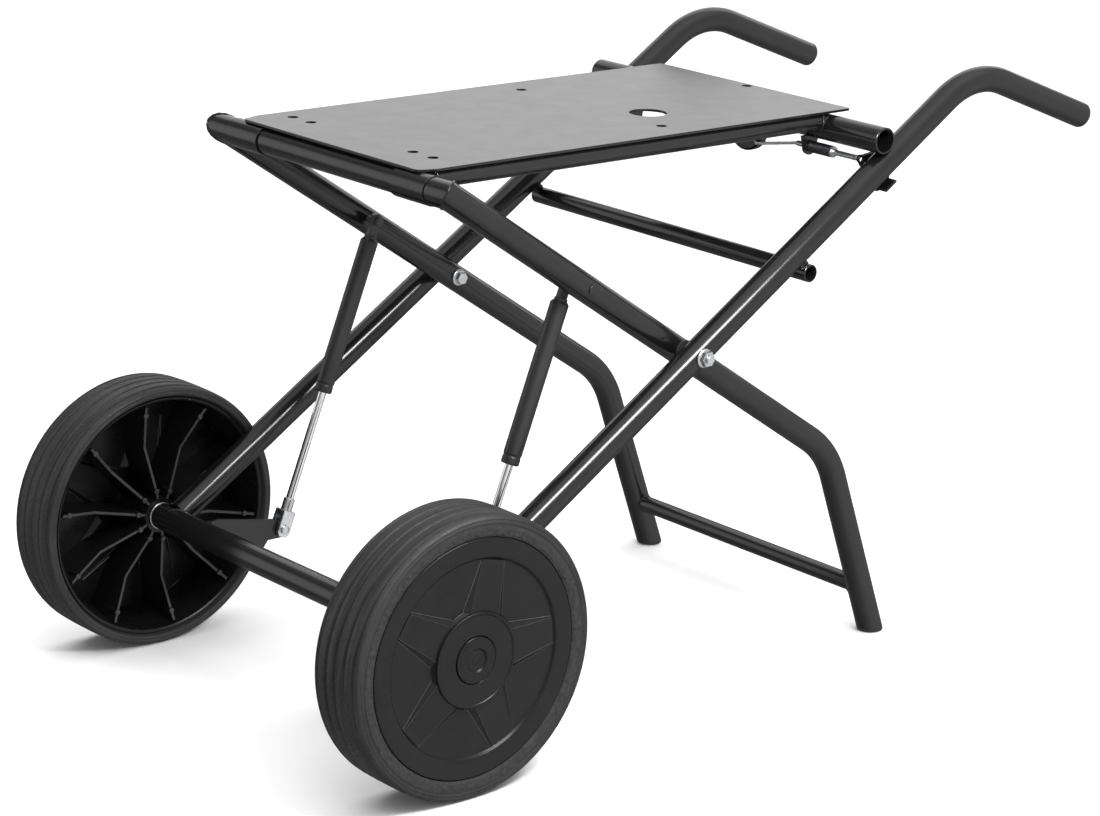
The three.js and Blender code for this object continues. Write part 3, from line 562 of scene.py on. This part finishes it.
def pivot_bolt(side, sign):
    """A flanged bolt inside the leg, a flange nut outside the handle tube and a washer between the tubes."""
    centre = point(PIVOT, 0)
    inside, outside = LEG_Y - TUBE_R - 0.3, HANDLE_Y + TUBE_R + 0.3
    out = Y * sign
    shank = soften([(0, inside - 2), (8.4, inside - 1.8), (9.6, inside - 1), (9.6, inside), (5, inside),
                    (5, outside + 10), (4.2, outside + 11), (0, outside + 11)], 0.4)
    shape = Shape().turn(shank, centre, out, 40)
    hexagon = ((inside - 1, 7.7), (inside - 7.2, 7.7), (inside - 8, 6.9))
    shape.loft([ring(centre + out * d, out, r, 6) for d, r in hexagon])
    rings = []
    for i in range(40):
        radius = 5.1 if i % 2 else 4.85
        rings.append(ring(centre + out * (outside + 7.4 + 0.08 * i), out, radius, 24))
    shape.loft(rings)
    shape.done(f"bolt_{side}", ZINC, "handle_frame", [f"pivot_bolt_{side}"], "zinc")

    nut = Shape()
    flats = []
    for distance, radius in ((outside + 1.8, 8.9), (outside + 7.2, 8.9), (outside + 8.1, 8.2)):
        flats.append(ring(centre + out * distance, out, radius, 6))
    bore = [ring(centre + out * d, out, 5.2, 6) for d in (outside + 8.1, outside + 1.8)]
    nut.loft(flats + bore, closed=True)
    flange = soften([(5.3, outside), (10.6, outside), (10.6, outside + 0.9), (8.6, outside + 2.1),
                     (5.3, outside + 2.1)], 0.4, True)
    nut.turn(flange, centre, out, 40, True)
    nut.done(f"flange_nut_{side}", ZINC, "handle_frame", [f"pivot_nut_{side}"], "zinc", sharp=25)

    near, far = LEG_Y + TUBE_R + 0.3, HANDLE_Y - TUBE_R - 0.3
    spacer = soften([(5.3, near), (13, near), (13, far), (5.3, far)], 0.3, True)
    Shape().turn(spacer, centre, out, 40, True).done(
        f"slip_washer_{side}", NYLON, "handle_frame", [f"pivot_washer_{side}"], "black_plastic")


# ---- Leg frame ----
SHIN = math.radians(69.2)
THIGH_RUN, KNEE = 636, (107, SLOPE - SHIN)
LEG_BAR_HEIGHT = 58


def mitred(rim, direction, other):
    """A tube's rim at a corner, slid along the tube onto the mitre plane that it shares with another tube."""
    centre = sum(rim, Vector()) / len(rim)
    return [p + direction * (p - centre).dot(other) for p in rim]


def leg_route(y):
    stations = route(LEG_TOP, -SLOPE, y, THIGH_RUN, KNEE)
    knee, shin = stations[-1][0], heading_vector(-SHIN)
    length = (knee.z + WHEEL_R) / math.sin(SHIN)
    return stations + [(knee + shin * (length - 12), shin), (knee + shin * length, shin)]


def leg(side, sign):
    y = sign * LEG_Y
    stations = leg_route(y)
    shape = Shape()
    top = point(LEG_TOP, y)
    down = heading_vector(-SLOPE)
    rings = [mitred(ring(top, down, TUBE_R, TUBE_SIDES), down, -Y * sign)]
    rings.append(ring(top + down * 20, down, TUBE_R, TUBE_SIDES))
    rings += [ring(p, d, TUBE_R, TUBE_SIDES) for p, d in stations[1:-1]]
    last, direction = stations[-2]
    cut_z = 4.1 - WHEEL_R
    end = ring(last, direction, TUBE_R, TUBE_SIDES)
    rings.append([p + direction * ((cut_z - p.z) / direction.z) for p in end])
    shape.loft(rings)
    shape.done(f"leg_{side}", COAT, "leg_frame", [f"leg_tube_{side}"], "powder_coat")

    toe = stations[-1][0]
    levels = [(0.72, 0), (0.86, 0.25), (0.95, 0.9), (0.995, 2.0), (1.0, 3.9), (0.8, 3.9)]
    rings = []
    for scale, height in levels:
        centre = toe - direction * (height / math.sin(SHIN))
        long, wide = TUBE_R / math.sin(SHIN) * scale, TUBE_R * scale
        rings.append([Vector((centre.x + long * math.cos(a), y + wide * math.sin(a), height - WHEEL_R))
                      for a in [2 * math.pi * i / TUBE_SIDES for i in range(TUBE_SIDES)]])
    Shape().loft(rings).done(f"foot_cap_{side}", NYLON, "leg_frame", [f"foot_{side}"], "black_plastic")


def leg_bars():
    down = heading_vector(-SLOPE)
    half = [(179, TUBE_R), (174.4, TUBE_R), (173.9, 14.8), (173.8, 14)]
    rings = [ring(point(LEG_TOP, -d), Y, r, TUBE_SIDES) for d, r in half]
    rings += [ring(point(LEG_TOP, d), Y, r, TUBE_SIDES) for d, r in reversed(half)]
    corners = [mitred(ring(point(LEG_TOP, sign * LEG_Y), Y, TUBE_R, TUBE_SIDES), -Y * sign, down)
               for _, sign in SIDE_NAMES]
    Shape().loft([corners[0], *rings, corners[1]]).done(
        "top_tube", COAT, "leg_frame", ["leg_top_tube"], "powder_coat")
    weld("corner_welds", corners, "leg_frame", 1.4, 29)
    knee = route(LEG_TOP, -SLOPE, 0, THIGH_RUN, KNEE)[-1][0]
    bar = knee + heading_vector(-SHIN) * ((knee.z + WHEEL_R - LEG_BAR_HEIGHT) / math.sin(SHIN))
    ends = straight(bar - Y * 184, bar + Y * 184)
    Shape().tube(ends, SMALL_R, SMALL_R - SMALL_WALL, SMALL_SIDES).done(
        "leg_bar", COAT, "leg_frame", ["leg_crossbar"], "powder_coat")
    beads = []
    for _, sign in SIDE_NAMES:
        beads.append(saddle(bar + Y * sign * LEG_Y, -Y * sign, SMALL_R, heading_vector(-SHIN), TUBE_R))
    weld("leg_welds", beads, "leg_frame", 1.7, 23)


# ---- Table: plate, rails, sleeves, rear tube ----
PLATE_X, PLATE_HALF, PLATE_LOW, PLATE_THICK = (42.5, 655), 159.5, 466.2, 3
BOLT_HOLES = ((93, 131), (93, 98), (93, -81), (93, -114.5), (405, 119.5), (405, -119.5), (645, 0))
BOLT_HOLE_R, LARGE_HOLE = 5.8, (441, -57, 21)
RAIL_R, RAIL_Y, SLEEVE_R = 9.7, 149.4, 16


def table():
    front, rear = PLATE_X
    half = PLATE_HALF
    outline = [(front, 8 - half), (front + 23, -half), (rear, -half), (rear, half), (front + 23, half),
               (front, half - 8)]
    holes = [disc(x, y, BOLT_HOLE_R, 48) for x, y in BOLT_HOLES]
    holes.append(disc(*LARGE_HOLE, 72))
    flat = Matrix.Translation((0, 0, PLATE_LOW + PLATE_THICK / 2))
    deck = Shape().add(sheet_metal(outline, holes, PLATE_THICK, flat, 0.5, 4)).done(
        "deck", PLATE, "table", ["table_plate"], "plate_coat")
    # The plate's side faces take the darker gloss coat instead of the plate's own coat: painted shade on its
    # edges.
    deck.data.materials.append(COAT)
    for face in deck.data.polygons:
        face.material_index = 0 if abs(face.normal.z) > 0.8 else 1

    rail_z = PLATE_LOW - 0.3 - RAIL_R
    beads = []
    for side, sign in SIDE_NAMES:
        y = sign * RAIL_Y
        start, end = Vector((LEG_TOP[0] + 8, y, rail_z)), Vector((REST[0] - 6, y, rail_z))
        Shape().tube(straight(start, end), RAIL_R, sides=SMALL_SIDES, edge=0.3).done(
            f"rail_{side}", COAT, "table", [f"side_rail_{side}"], "powder_coat")
        loop = soften([(14.3, 117), (SLEEVE_R, 117), (SLEEVE_R, 173), (14.3, 173)], 0.5, True)
        Shape().turn([(r, sign * d) for r, d in loop], point(LEG_TOP, 0), Y, TUBE_SIDES, True).done(
            f"sleeve_{side}", COAT, "table", [f"pivot_sleeve_{side}"], "powder_coat")
        beads.append(saddle(Vector((LEG_TOP[0], y, rail_z)), X, RAIL_R, Y, SLEEVE_R + 1.0))
        beads.append(saddle(Vector((REST[0], y, rail_z)), -X, RAIL_R, Y, TUBE_R + 1.6))
    weld("table_welds", beads, "table", 1.9, 31)
    ends = straight(point(REST, -240), point(REST, 240))
    Shape().tube(ends, TUBE_R, TUBE_R - TUBE_WALL, TUBE_SIDES).done(
        "rear_rest_tube", COAT, "table", ["rear_tube"], "powder_coat")


# ---- Latch ----
GUIDE_Y, CLIP_Y = -127, -166
LEVER_FACE = REST[0] + TUBE_R + 1


def latch():
    x, z = PIN
    outline = [(x - 13, REST[1] - 12), (x - 10, z)]
    outline += arc(x, z, 10, lower_half(16))
    outline += [(x + 10, z), (x + 13, REST[1] - 12)]
    Shape().add(sheet_metal(outline, [disc(x, z, 4.3, 24)], 4, side_matrix(GUIDE_Y), 0.6)).done(
        "guide_tab", COAT, "table", ["pin_guide"], "powder_coat")

    shape = Shape()
    profile = soften([(0, -205.6), (2.2, -205.6), (3.3, -203.6), (3.3, -109), (2.4, -107), (0, -107)], 0.5)
    shape.turn(profile, point(PIN, 0), Y, 28)
    low = REST[1] - 41
    rod = [(x, -110, z), (x + 0.5, -106, z - 0.4), (LEVER_FACE - 9, -34, low + 1), (LEVER_FACE - 6, -27, low),
           (LEVER_FACE - 3, -21, low), (LEVER_FACE - 0.4, -18, low)]
    rod = [Vector(p) for p in rod]
    smooth = []
    for i in range(len(rod) - 1):
        a, b, c, d = rod[max(i - 1, 0)], rod[i], rod[i + 1], rod[min(i + 2, len(rod) - 1)]
        for k in range(8):
            t = k / 8
            bend, twist = 2 * a - 5 * b + 4 * c - d, 3 * b - a - 3 * c + d
            smooth.append(0.5 * (2 * b + (c - a) * t + bend * t * t + twist * t ** 3))
    smooth.append(rod[-1])
    rings = []
    for i, p in enumerate(smooth):
        direction = smooth[min(i + 1, len(smooth) - 1)] - smooth[max(i - 1, 0)]
        rings.append(ring(p, direction, 1.9, 16, Z))
    shape.loft(rings)
    shape.done("latch_bolt", ZINC, "pin", ["latch_pin"], "zinc", sharp=40)

    low, high = CLIP_Y - 0.8, CLIP_Y + 0.8
    clip = soften([(3.2, low), (6.6, low), (6.6, high), (3.2, high)], 0.3, True, 2)
    Shape().turn(clip, point(PIN, 0), Y, 28, True).done(
        "retaining_clip", ZINC, "pin", ["pin_clip"], "zinc")
    coil_spring()
    lever()


def coil_spring():
    """The spring round the pin, with its end coils closed up."""
    x, z = PIN
    start, end, turns, steps, coil = GUIDE_Y - 3.2, CLIP_Y + 1.8, 11, 24, 6
    rings = []
    for i in range(turns * steps + 1):
        t = i / (turns * steps)
        angle = 2 * math.pi * turns * t
        shaped = t if 0.06 < t < 0.94 else (t * 0.8 + (0.012 if t < 0.5 else 0.188))
        y = start + (end - start) * shaped
        centre = Vector((x + coil * math.cos(angle), y, z + coil * math.sin(angle)))
        direction = Vector((-math.sin(angle), (end - start) / (turns * 2 * math.pi * coil), math.cos(angle)))
        rings.append(ring(centre, direction, 0.85, 10, Y))
    spring = Shape().loft(rings).done("coil_spring", SPRING_STEEL, "table", ["pin_spring"], "zinc", sharp=60)
    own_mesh(spring)


def lever():
    reach, radius, top_radius = 26, 29, 13
    outline = [(-top_radius, 0), (-radius, -reach)]
    outline += arc(0, -reach, radius, lower_half(24))
    outline += [(radius, -reach), (top_radius, 0)]
    outline += arc(0, 0, top_radius, [i * math.pi / 16 for i in range(1, 16)])
    stand = Matrix.Translation(point((LEVER_FACE + 1.5, REST[1]), 0)) @ Matrix(
        ((0, 0, 1, 0), (1, 0, 0, 0), (0, 1, 0, 0), (0, 0, 0, 1)))
    angles = [math.pi + i * math.pi / 24 for i in range(25)]
    band = arc(0, -reach, radius, angles) + arc(0, -reach, radius - 3, angles[::-1])
    rim = sheet_metal(band, [], 10, Matrix.Translation(X * 3.5) @ stand, 0.6)
    Shape().add(sheet_metal(outline, [disc(0, 0, 4.4, 24)], 3, stand, 0.6)).add(rim).done(
        "lever_paddle", COAT, "lever", ["release_lever"], "powder_coat")
    tip = 4.6
    profile = soften([(0, 0.3), (4, 0.3), (4, tip), (8, tip), (8, tip + 2.4), (6, tip + 4),
                      (0, tip + 4.6)], 0.5)
    Shape().turn(profile, point((REST[0] + TUBE_R, REST[1]), 0), X, 32).done(
        "lever_screw", ZINC, "table", ["lever_bolt"], "zinc")


# ---- Gas springs ----
# The cylinder's two ends, measured along the spring from its foot.
CYLINDER_LOW, CYLINDER_HIGH = 161.3, 343.1


def gas_spring(side, sign):
    y = sign * SPRING_Y
    foot = point(FOOT_PIN, y)
    span = point(EYE, y) - foot
    d = span.normalized()
    low, high = CYLINDER_LOW, CYLINDER_HIGH
    profile = soften([(4.8, low + 1), (8.6, low), (10.0, low + 1.2), (10.0, low + 8), (9.5, low + 9),
                      (9.5, low + 10.5), (10.2, low + 11.5), (10.2, high - 3), (7.8, high), (0, high)],
                     0.6, False, 4)
    Shape().turn([(4.8, low + 8), *profile], foot, d, TUBE_SIDES).done(
        f"cylinder_{side}", CYLINDER, f"strut_body_{side}", [f"gas_cylinder_{side}"], "cylinder_paint")
    rod = [(0, 23.3), (4.5, 23.3), (4.5, 207), (0, 207)]
    Shape().turn(rod, foot, d, 40).done(
        f"rod_{side}", CHROME, f"strut_rod_{side}", [f"gas_rod_{side}"], "chrome")
    clevis(side, foot, d)
    eye(side, sign, foot, d, span.length)


def clevis(side, foot, d):
    """The fork on the rod's foot."""
    tilt = Matrix.Translation(foot) @ Matrix.Rotation(-math.atan2(d.z, d.x), 4, "Y")
    shape = Shape()
    for face in (-1, 1):
        outline = [(-4, -8.5), (-9.2, -5), (-9.2, 5), (-4, 8.5), (15, 8.5), (15, -8.5)]
        cheek = sheet_metal(outline, [disc(0, 0, 4.3, 28)], 5.2, tilt @ side_matrix(face * 5.9), 0.7, 1.5)
        shape.add(cheek)
    shape.box((13.6, -8.5, -8.5), (21.3, 8.5, 8.5), 1.0, tilt)
    neck = soften([(4.6, 20.8), (6.4, 20.8), (6.4, 34.6), (5.6, 35.3), (4.6, 35.3)], 0.4, True)
    shape.turn(neck, foot, d, 36, True)
    shape.done(f"fork_{side}", ZINC, f"strut_rod_{side}", [f"rod_clevis_{side}"], "zinc")


def eye(side, sign, foot, d, reach):
    """The flat lug and stud at the cylinder's upper end, and the rivet in the leg that it turns on."""
    high = CYLINDER_HIGH
    y = sign * SPRING_Y
    centre = point(EYE, y)
    outline = [(high + 0.3, -5), (high + 2, -6), (reach - 3, -6), (reach + 5, -6.5)]
    outline += arc(reach, 0, 8.5, [math.radians(10 * i - 50) for i in range(11)])
    outline += [(reach + 5, 6.5), (reach - 3, 6), (high + 2, 6), (high + 0.3, 5)]
    tilt = Matrix.Translation(foot) @ Matrix.Rotation(-math.atan2(d.z, d.x), 4, "Y")
    shape = Shape().add(sheet_metal(outline, [], 7, tilt @ side_matrix(0), 1.2))
    out = Y * sign
    end = LEG_Y - TUBE_R - 0.3 - SPRING_Y
    stud = soften([(0, -9), (4.4, -9), (5.5, -8), (5.5, -7), (4, -6.6), (4, end), (0, end)], 0.5)
    shape.turn(stud, centre, out, 32)
    collar = [(0, high - 0.4), (7.4, high - 0.4), (7.4, high + 2.2), (6, high + 3.4), (0, high + 3.4)]
    shape.turn(soften(collar, 0.5), foot, d, 32)
    # The eye takes the lighter satin coat: its lighter tone is painted light.
    shape.done(f"eye_{side}", PAINTED_LIGHT_SATIN, f"strut_body_{side}", [f"spring_eye_{side}"], "powder_coat")
    start, outside = LEG_Y - TUBE_R + 1, LEG_Y + TUBE_R + 0.3
    rivet = soften([(0, start), (4, start), (4, outside), (6, outside), (5.4, outside + 0.9),
                    (0, outside + 1.2)], 0.4)
    Shape().turn(rivet, point(EYE, 0), out, 32).done(
        f"rivet_{side}", COAT, "leg_frame", [f"spring_rivet_{side}"], "powder_coat")


# ---- Wheels ----
RIBS, ARMS = 10, 5
# Where the first rib of each wheel and the first arm of the star stand, in degrees.
RIB_START, ARM_START = {-1: 8, 1: 26}, 5
# How fast the tread falls away from its middle, and how far the ends of an arm bow.
CROWN_FALL, ARM_BOW = 0.00055, 0.003


def wheel(side, sign):
    out = Y * sign
    body = f"wheel_{side}"
    a, b = TYRE_IN, TYRE_OUT
    tread = [(139.5, a + 3.4), (141.5, a + 0.4), (144, a + 0.2), (145, a + 1.2), (147, a + 0.8)]
    tread.append((149.6, a + 2.4))
    grooves = [(a + 8, 2.2), (a + 22.5, 2), (a + 37, 1.8), (b - 22.5, 2), (b - 8, 2.2)]
    for centre_y, depth in grooves:
        crown = WHEEL_R - CROWN_FALL * (centre_y - (a + b) / 2) ** 2
        tread += [(crown, centre_y - 2.3), (crown - depth, centre_y - 1.4), (crown - depth, centre_y + 1.4),
                  (crown, centre_y + 2.3)]
    tread += [(149.6, b - 2.4), (147.4, b - 0.9), (146.2, b - 1.4), (144.4, b - 0.5), (142.6, b - 0.4)]
    tread.append((141.6, b - 1.0))
    wall = [(140.8, b - 0.6), (137, b - 0.5), (131.5, b - 1.5), (129, b - 3.6)]
    back = [(132, b - 20), (134, a + 20)]
    outer = soften(tread, 0.7, False, 3) + wall + back
    Shape().turn(outer, CENTRE, out, WHEEL_SIDES, True).done(
        f"tyre_body_{side}", RUBBER, body, [f"tyre_{side}"], "tyre_rubber")
    band = soften([(128.7, b - 2.9), (131.6, b - 1.1), (137, b - 0.1), (140.6, b - 0.2), (140.6, b - 1.2),
                   (131.8, b - 2.4)], 0.4, True)
    Shape().turn(band, CENTRE, out, WHEEL_SIDES, True).done(
        f"tyre_band_{side}", SIDEWALL, body, slot="tyre_rubber")
    hub(side, sign, out, body)


def hub(side, sign, out, body):
    a, b = TYRE_IN, TYRE_OUT
    bore, inner = 10.3, 251
    face, back = b - 6, b - 11
    shape = Shape()
    profile = [(bore, inner), (20, inner), (22, back), (124, back), (134.3, a + 5.5), (136.4, a + 4.2)]
    profile += [(138, a + 3.9), (133.5, a + 21), (131.5, b - 21), (128.4, b - 4.6), (128.2, b - 2.9)]
    profile += [(127.2, b - 2), (124, b - 1.6), (109.6, b - 2.3), (107.4, b - 2.9), (105.4, b - 5.4)]
    profile += [(104.4, face), (54, face), (51.4, b - 2), (50.8, b + 0.2), (49.9, b + 0.7), (48.5, b + 0.5)]
    profile += [(47.5, b - 0.7), (46.4, b - 0.9), (27, b - 0.6), (26, b - 0.8), (25.5, b - 1.6)]
    profile += [(25.4, b - 9), (bore, b - 9)]
    shape.turn(soften(profile, 0.6, True, 3), CENTRE, out, WHEEL_SIDES, True)
    shape.done(f"hub_{side}", HUB, body, [f"wheel_hub_{side}"], "black_plastic", sharp=28)
    ribs = Shape()
    for i in range(RIBS):
        angle = math.radians(RIB_START[sign] + 360 / RIBS * i)
        rib(ribs, angle, out, back)
    ribs = ribs.done(f"ribs_{side}", RIB, body, slot="black_plastic", sharp=28)
    # Faces turned towards the stand's middle, the ribs' crests, take the lighter copy as a painted highlight.
    ribs.data.materials.append(CREST_HIGHLIGHT)
    for polygon in ribs.data.polygons:
        polygon.material_index = 1 if polygon.normal.dot(out) < -0.7 else 0
    arms = Shape()
    star(arms, out, face, 1)
    star(arms, out, back, -1)
    arms.done(f"star_{side}", STAR, body, slot="black_plastic", sharp=20)
    cap = [(0, b - 8), (24.6, b - 8), (25, b - 0.6), (24.2, b + 0.2), (20, b + 0.9), (15.5, b + 1.5)]
    cap += [(13.6, b + 1.6), (12.2, b + 0.5), (11.2, b - 0.8), (5, b - 0.9), (4.2, b - 0.3), (0, b - 0.2)]
    Shape().turn(soften(cap, 0.5, False, 4), CENTRE, out, 96).done(
        f"cap_{side}", CAP, body, [f"hub_cap_{side}"], "black_plastic", sharp=24)


def rib(shape, angle, out, back):
    """One radial rib inside the wheel: its crest dips half way along, and carries two moulding bosses."""
    radial = Vector((math.cos(angle), 0, math.sin(angle)))
    across = out.cross(radial)
    crest = [(19, 252.5), (27, 252.5), (79, 266.5), (120, 254.8), (131, 251)]
    foot = [(131, back + 1), (19, back + 1)]
    sides = [[radial * r + out * d + across * offset for r, d in crest + foot] for offset in (-1.5, 1.5)]
    shape.loft(sides)
    for r, d in ((120, 254.3), (29, 252)):
        boss = soften([(0, d + 14), (3.4, d + 14), (3.4, d), (2.6, d - 0.8), (0, d - 0.8)], 0.3)
        shape.turn(boss, radial * r, out, 20)


def star(shape, out, face, sense):
    """The star on one face of the wheel's web: tapered arms that slope down from the ring to the rim."""
    bead = 0.5
    for i in range(ARMS):
        middle = math.radians(ARM_START + 360 / ARMS * i)
        radial = Vector((math.cos(middle), 0, math.sin(middle)))
        across = out.cross(radial)
        stations = [(43, 19.6, 26.8, 3.9), (50.5, 18.7, 25.4, 3.8), (104.6, 13.7, 15.3, 0.8)]
        section = []
        for r, top, bottom, height in stations:
            rows = [(-bottom - 0.7, -1), (-bottom - 0.7, 0), (-bottom - 0.2, bead), (-bottom + 0.5, 0.1)]
            rows += [(-top - 0.6, height - 0.3), (-top, height + bead), (-top + 0.7, height)]
            rows += [(-w, d) for w, d in reversed(rows)]
            section.append([radial * (r - ARM_BOW * w * w) + across * w + out * (face + sense * d)
                            for w, d in rows])
        shape.loft(section)


axle()
crossbar()
leg_bars()
table()
latch()
for side_name, side_sign in SIDE_NAMES:
    handle(side_name, side_sign)
    spring_bracket(side_name, side_sign)
    catch_plate(side_name, side_sign)
    pivot_bolt(side_name, side_sign)
    leg(side_name, side_sign)
    gas_spring(side_name, side_sign)
    wheel(side_name, side_sign)

# ---- Floor, light and camera ----
FLOOR_SIZE, FLOOR_DROP, BACKDROP_RADIUS = 20, 0.0004, 18
floor_material = Nodes("floor")
floor_shades = ((0.86, 0.86, 0.86), (0.88, 0.88, 0.88))
floor_colour = floor_material.ramp(floor_material.noise(3, 4), 0.3, 0.7, floor_shades)
floor_material.surface(floor_colour, floor_material.spread(floor_material.noise(20), 0.8, 0.9))
floor_mesh = bpy.data.meshes.new("floor")
floor_shape = bmesh.new()
bmesh.ops.create_grid(floor_shape, x_segments=4, y_segments=4, size=FLOOR_SIZE)
floor_shape.to_mesh(floor_mesh)
floor_shape.free()
floor_mesh.materials.append(floor_material.material)
floor = bpy.data.objects.new("floor", floor_mesh)
floor.location = (0, 0, -FLOOR_DROP)
floor.visible_glossy = False
bpy.context.scene.collection.objects.link(floor)

# A pale backdrop that only the camera sees, for views so low that the floor ends in the picture.
sky_material = bpy.data.materials.new("backdrop")
sky_material.use_nodes = True
sky_shader = sky_material.node_tree.nodes["Principled BSDF"]
sky_shader.inputs["Base Color"].default_value = (0, 0, 0, 1)
sky_shader.inputs["Emission Color"].default_value = (1, 1, 1, 1)
sky_shader.inputs["Emission Strength"].default_value = 1.0
sky_mesh = bpy.data.meshes.new("backdrop")
sky_shape = bmesh.new()
bmesh.ops.create_icosphere(sky_shape, subdivisions=4, radius=BACKDROP_RADIUS)
sky_shape.to_mesh(sky_mesh)
sky_shape.free()
sky_mesh.materials.append(sky_material)
backdrop = bpy.data.objects.new("backdrop", sky_mesh)
backdrop.visible_diffuse = False
backdrop.visible_glossy = False
backdrop.visible_transmission = False
backdrop.visible_shadow = False
bpy.context.scene.collection.objects.link(backdrop)


def studio(level, glows):
    """A world of one level, with a soft glow round each of some directions."""
    world = bpy.data.worlds.new("studio")
    world.use_nodes = True
    tree = world.node_tree
    direction = tree.nodes.new("ShaderNodeTexCoord").outputs["Generated"]

    def ramp(vector, high, start, end):
        dot = tree.nodes.new("ShaderNodeVectorMath")
        dot.operation = "DOT_PRODUCT"
        tree.links.new(direction, dot.inputs[0])
        dot.inputs[1].default_value = vector
        spread = tree.nodes.new("ShaderNodeMapRange")
        spread.interpolation_type = "SMOOTHSTEP"
        tree.links.new(dot.outputs["Value"], spread.inputs["Value"])
        for name, value in (("From Min", start), ("From Max", end), ("To Min", 0), ("To Max", high)):
            spread.inputs[name].default_value = value
        return spread.outputs["Result"]

    total = None
    for azimuth, elevation, strength, inner, outer in glows:
        a, e, inner, outer = (math.radians(angle) for angle in (azimuth, elevation, inner, outer))
        towards = (math.cos(e) * math.cos(a), math.cos(e) * math.sin(a), math.sin(e))
        add = tree.nodes.new("ShaderNodeMath")
        add.inputs[0].default_value = level
        if total:
            tree.links.new(total, add.inputs[0])
        tree.links.new(ramp(towards, strength, math.cos(outer), math.cos(inner)), add.inputs[1])
        total = add.outputs["Value"]
    tree.links.new(total, tree.nodes["Background"].inputs["Strength"])
    tree.nodes["Background"].inputs["Color"].default_value = (1, 1, 1, 1)
    bpy.context.scene.world = world


CARD_AZIMUTH, CARD_DISTANCE, CARD_X, CARD_Z = math.radians(50), 1.3, 0.3, 1.11
CARD_PLACE = (*along(CARD_DISTANCE, CARD_AZIMUTH, (CARD_X, 0)), CARD_Z)
# Each glow: azimuth, elevation, strength, the angle that is full and the angle where it ends, in degrees.
GLOWS = ((-75, 20, 0.64, 30, 100), (-100, -45, 0.25, 20, 70), (0, 90, 0.6, 10, 60), (128, 8, 1.0, 6, 28))


def softbox(name, place, target, size, radiance):
    """An area light of a given radiance, placed about the axle and aimed at a target."""
    light = bpy.data.lights.new(name, "AREA")
    light.shape = "RECTANGLE"
    light.size, light.size_y = size
    light.energy = radiance * math.pi * size[0] * size[1]
    obj = bpy.data.objects.new(name, light)
    obj.location = AXLE + Vector(place)
    obj.rotation_euler = (Vector(target) - Vector(place)).to_track_quat("-Z", "Y").to_euler()
    obj.visible_camera = False
    bpy.context.scene.collection.objects.link(obj)


studio(0.2, GLOWS)
softbox("key", (0.24, -0.9, 0.9), (0.24, -0.1, 0.1), (0.54, 0.22), 32)
softbox("card", CARD_PLACE, (CARD_X, 0, CARD_Z), (2.4, 1.4), 1.06)
fill = bpy.data.lights.new("fill", "SUN")
fill.energy = 2.5
fill.angle = math.radians(80)
fill_lamp = bpy.data.objects.new("fill", fill)
fill_lamp.visible_glossy = False
bpy.context.scene.collection.objects.link(fill_lamp)

# The camera that was fitted to the photograph: its right, down and ahead directions, place and focal length.
VIEW_ROWS = ((0.766160, -0.642011, 0.028651), (-0.161447, -0.235437, -0.958386),
             (0.622040, 0.729651, -0.284033))
CAMERA_AT = Vector((-2012.778, -2767.989, 1198.085))
FOCAL_PIXELS, WIDTH, HEIGHT, MIDDLE_X, MIDDLE_Y = 3352, 1100, 816, 540.88, 415.94
lens = bpy.data.cameras.new("camera")
lens.sensor_width = 36
lens.lens = lens.sensor_width * FOCAL_PIXELS / WIDTH
lens.shift_x = (WIDTH / 2 - MIDDLE_X) / WIDTH
lens.shift_y = (MIDDLE_Y - HEIGHT / 2) / WIDTH
lens.clip_start, lens.clip_end = 0.1, 60
camera = bpy.data.objects.new("camera", lens)
right, down, ahead = (Vector(row) for row in VIEW_ROWS)
turn = Matrix((right, -down, -ahead)).transposed().to_4x4()
camera.matrix_world = Matrix.Translation(AXLE + CAMERA_AT * MM) @ turn
bpy.context.scene.collection.objects.link(camera)
bpy.context.scene.camera = camera
bpy.context.scene.view_settings.view_transform = "Standard"
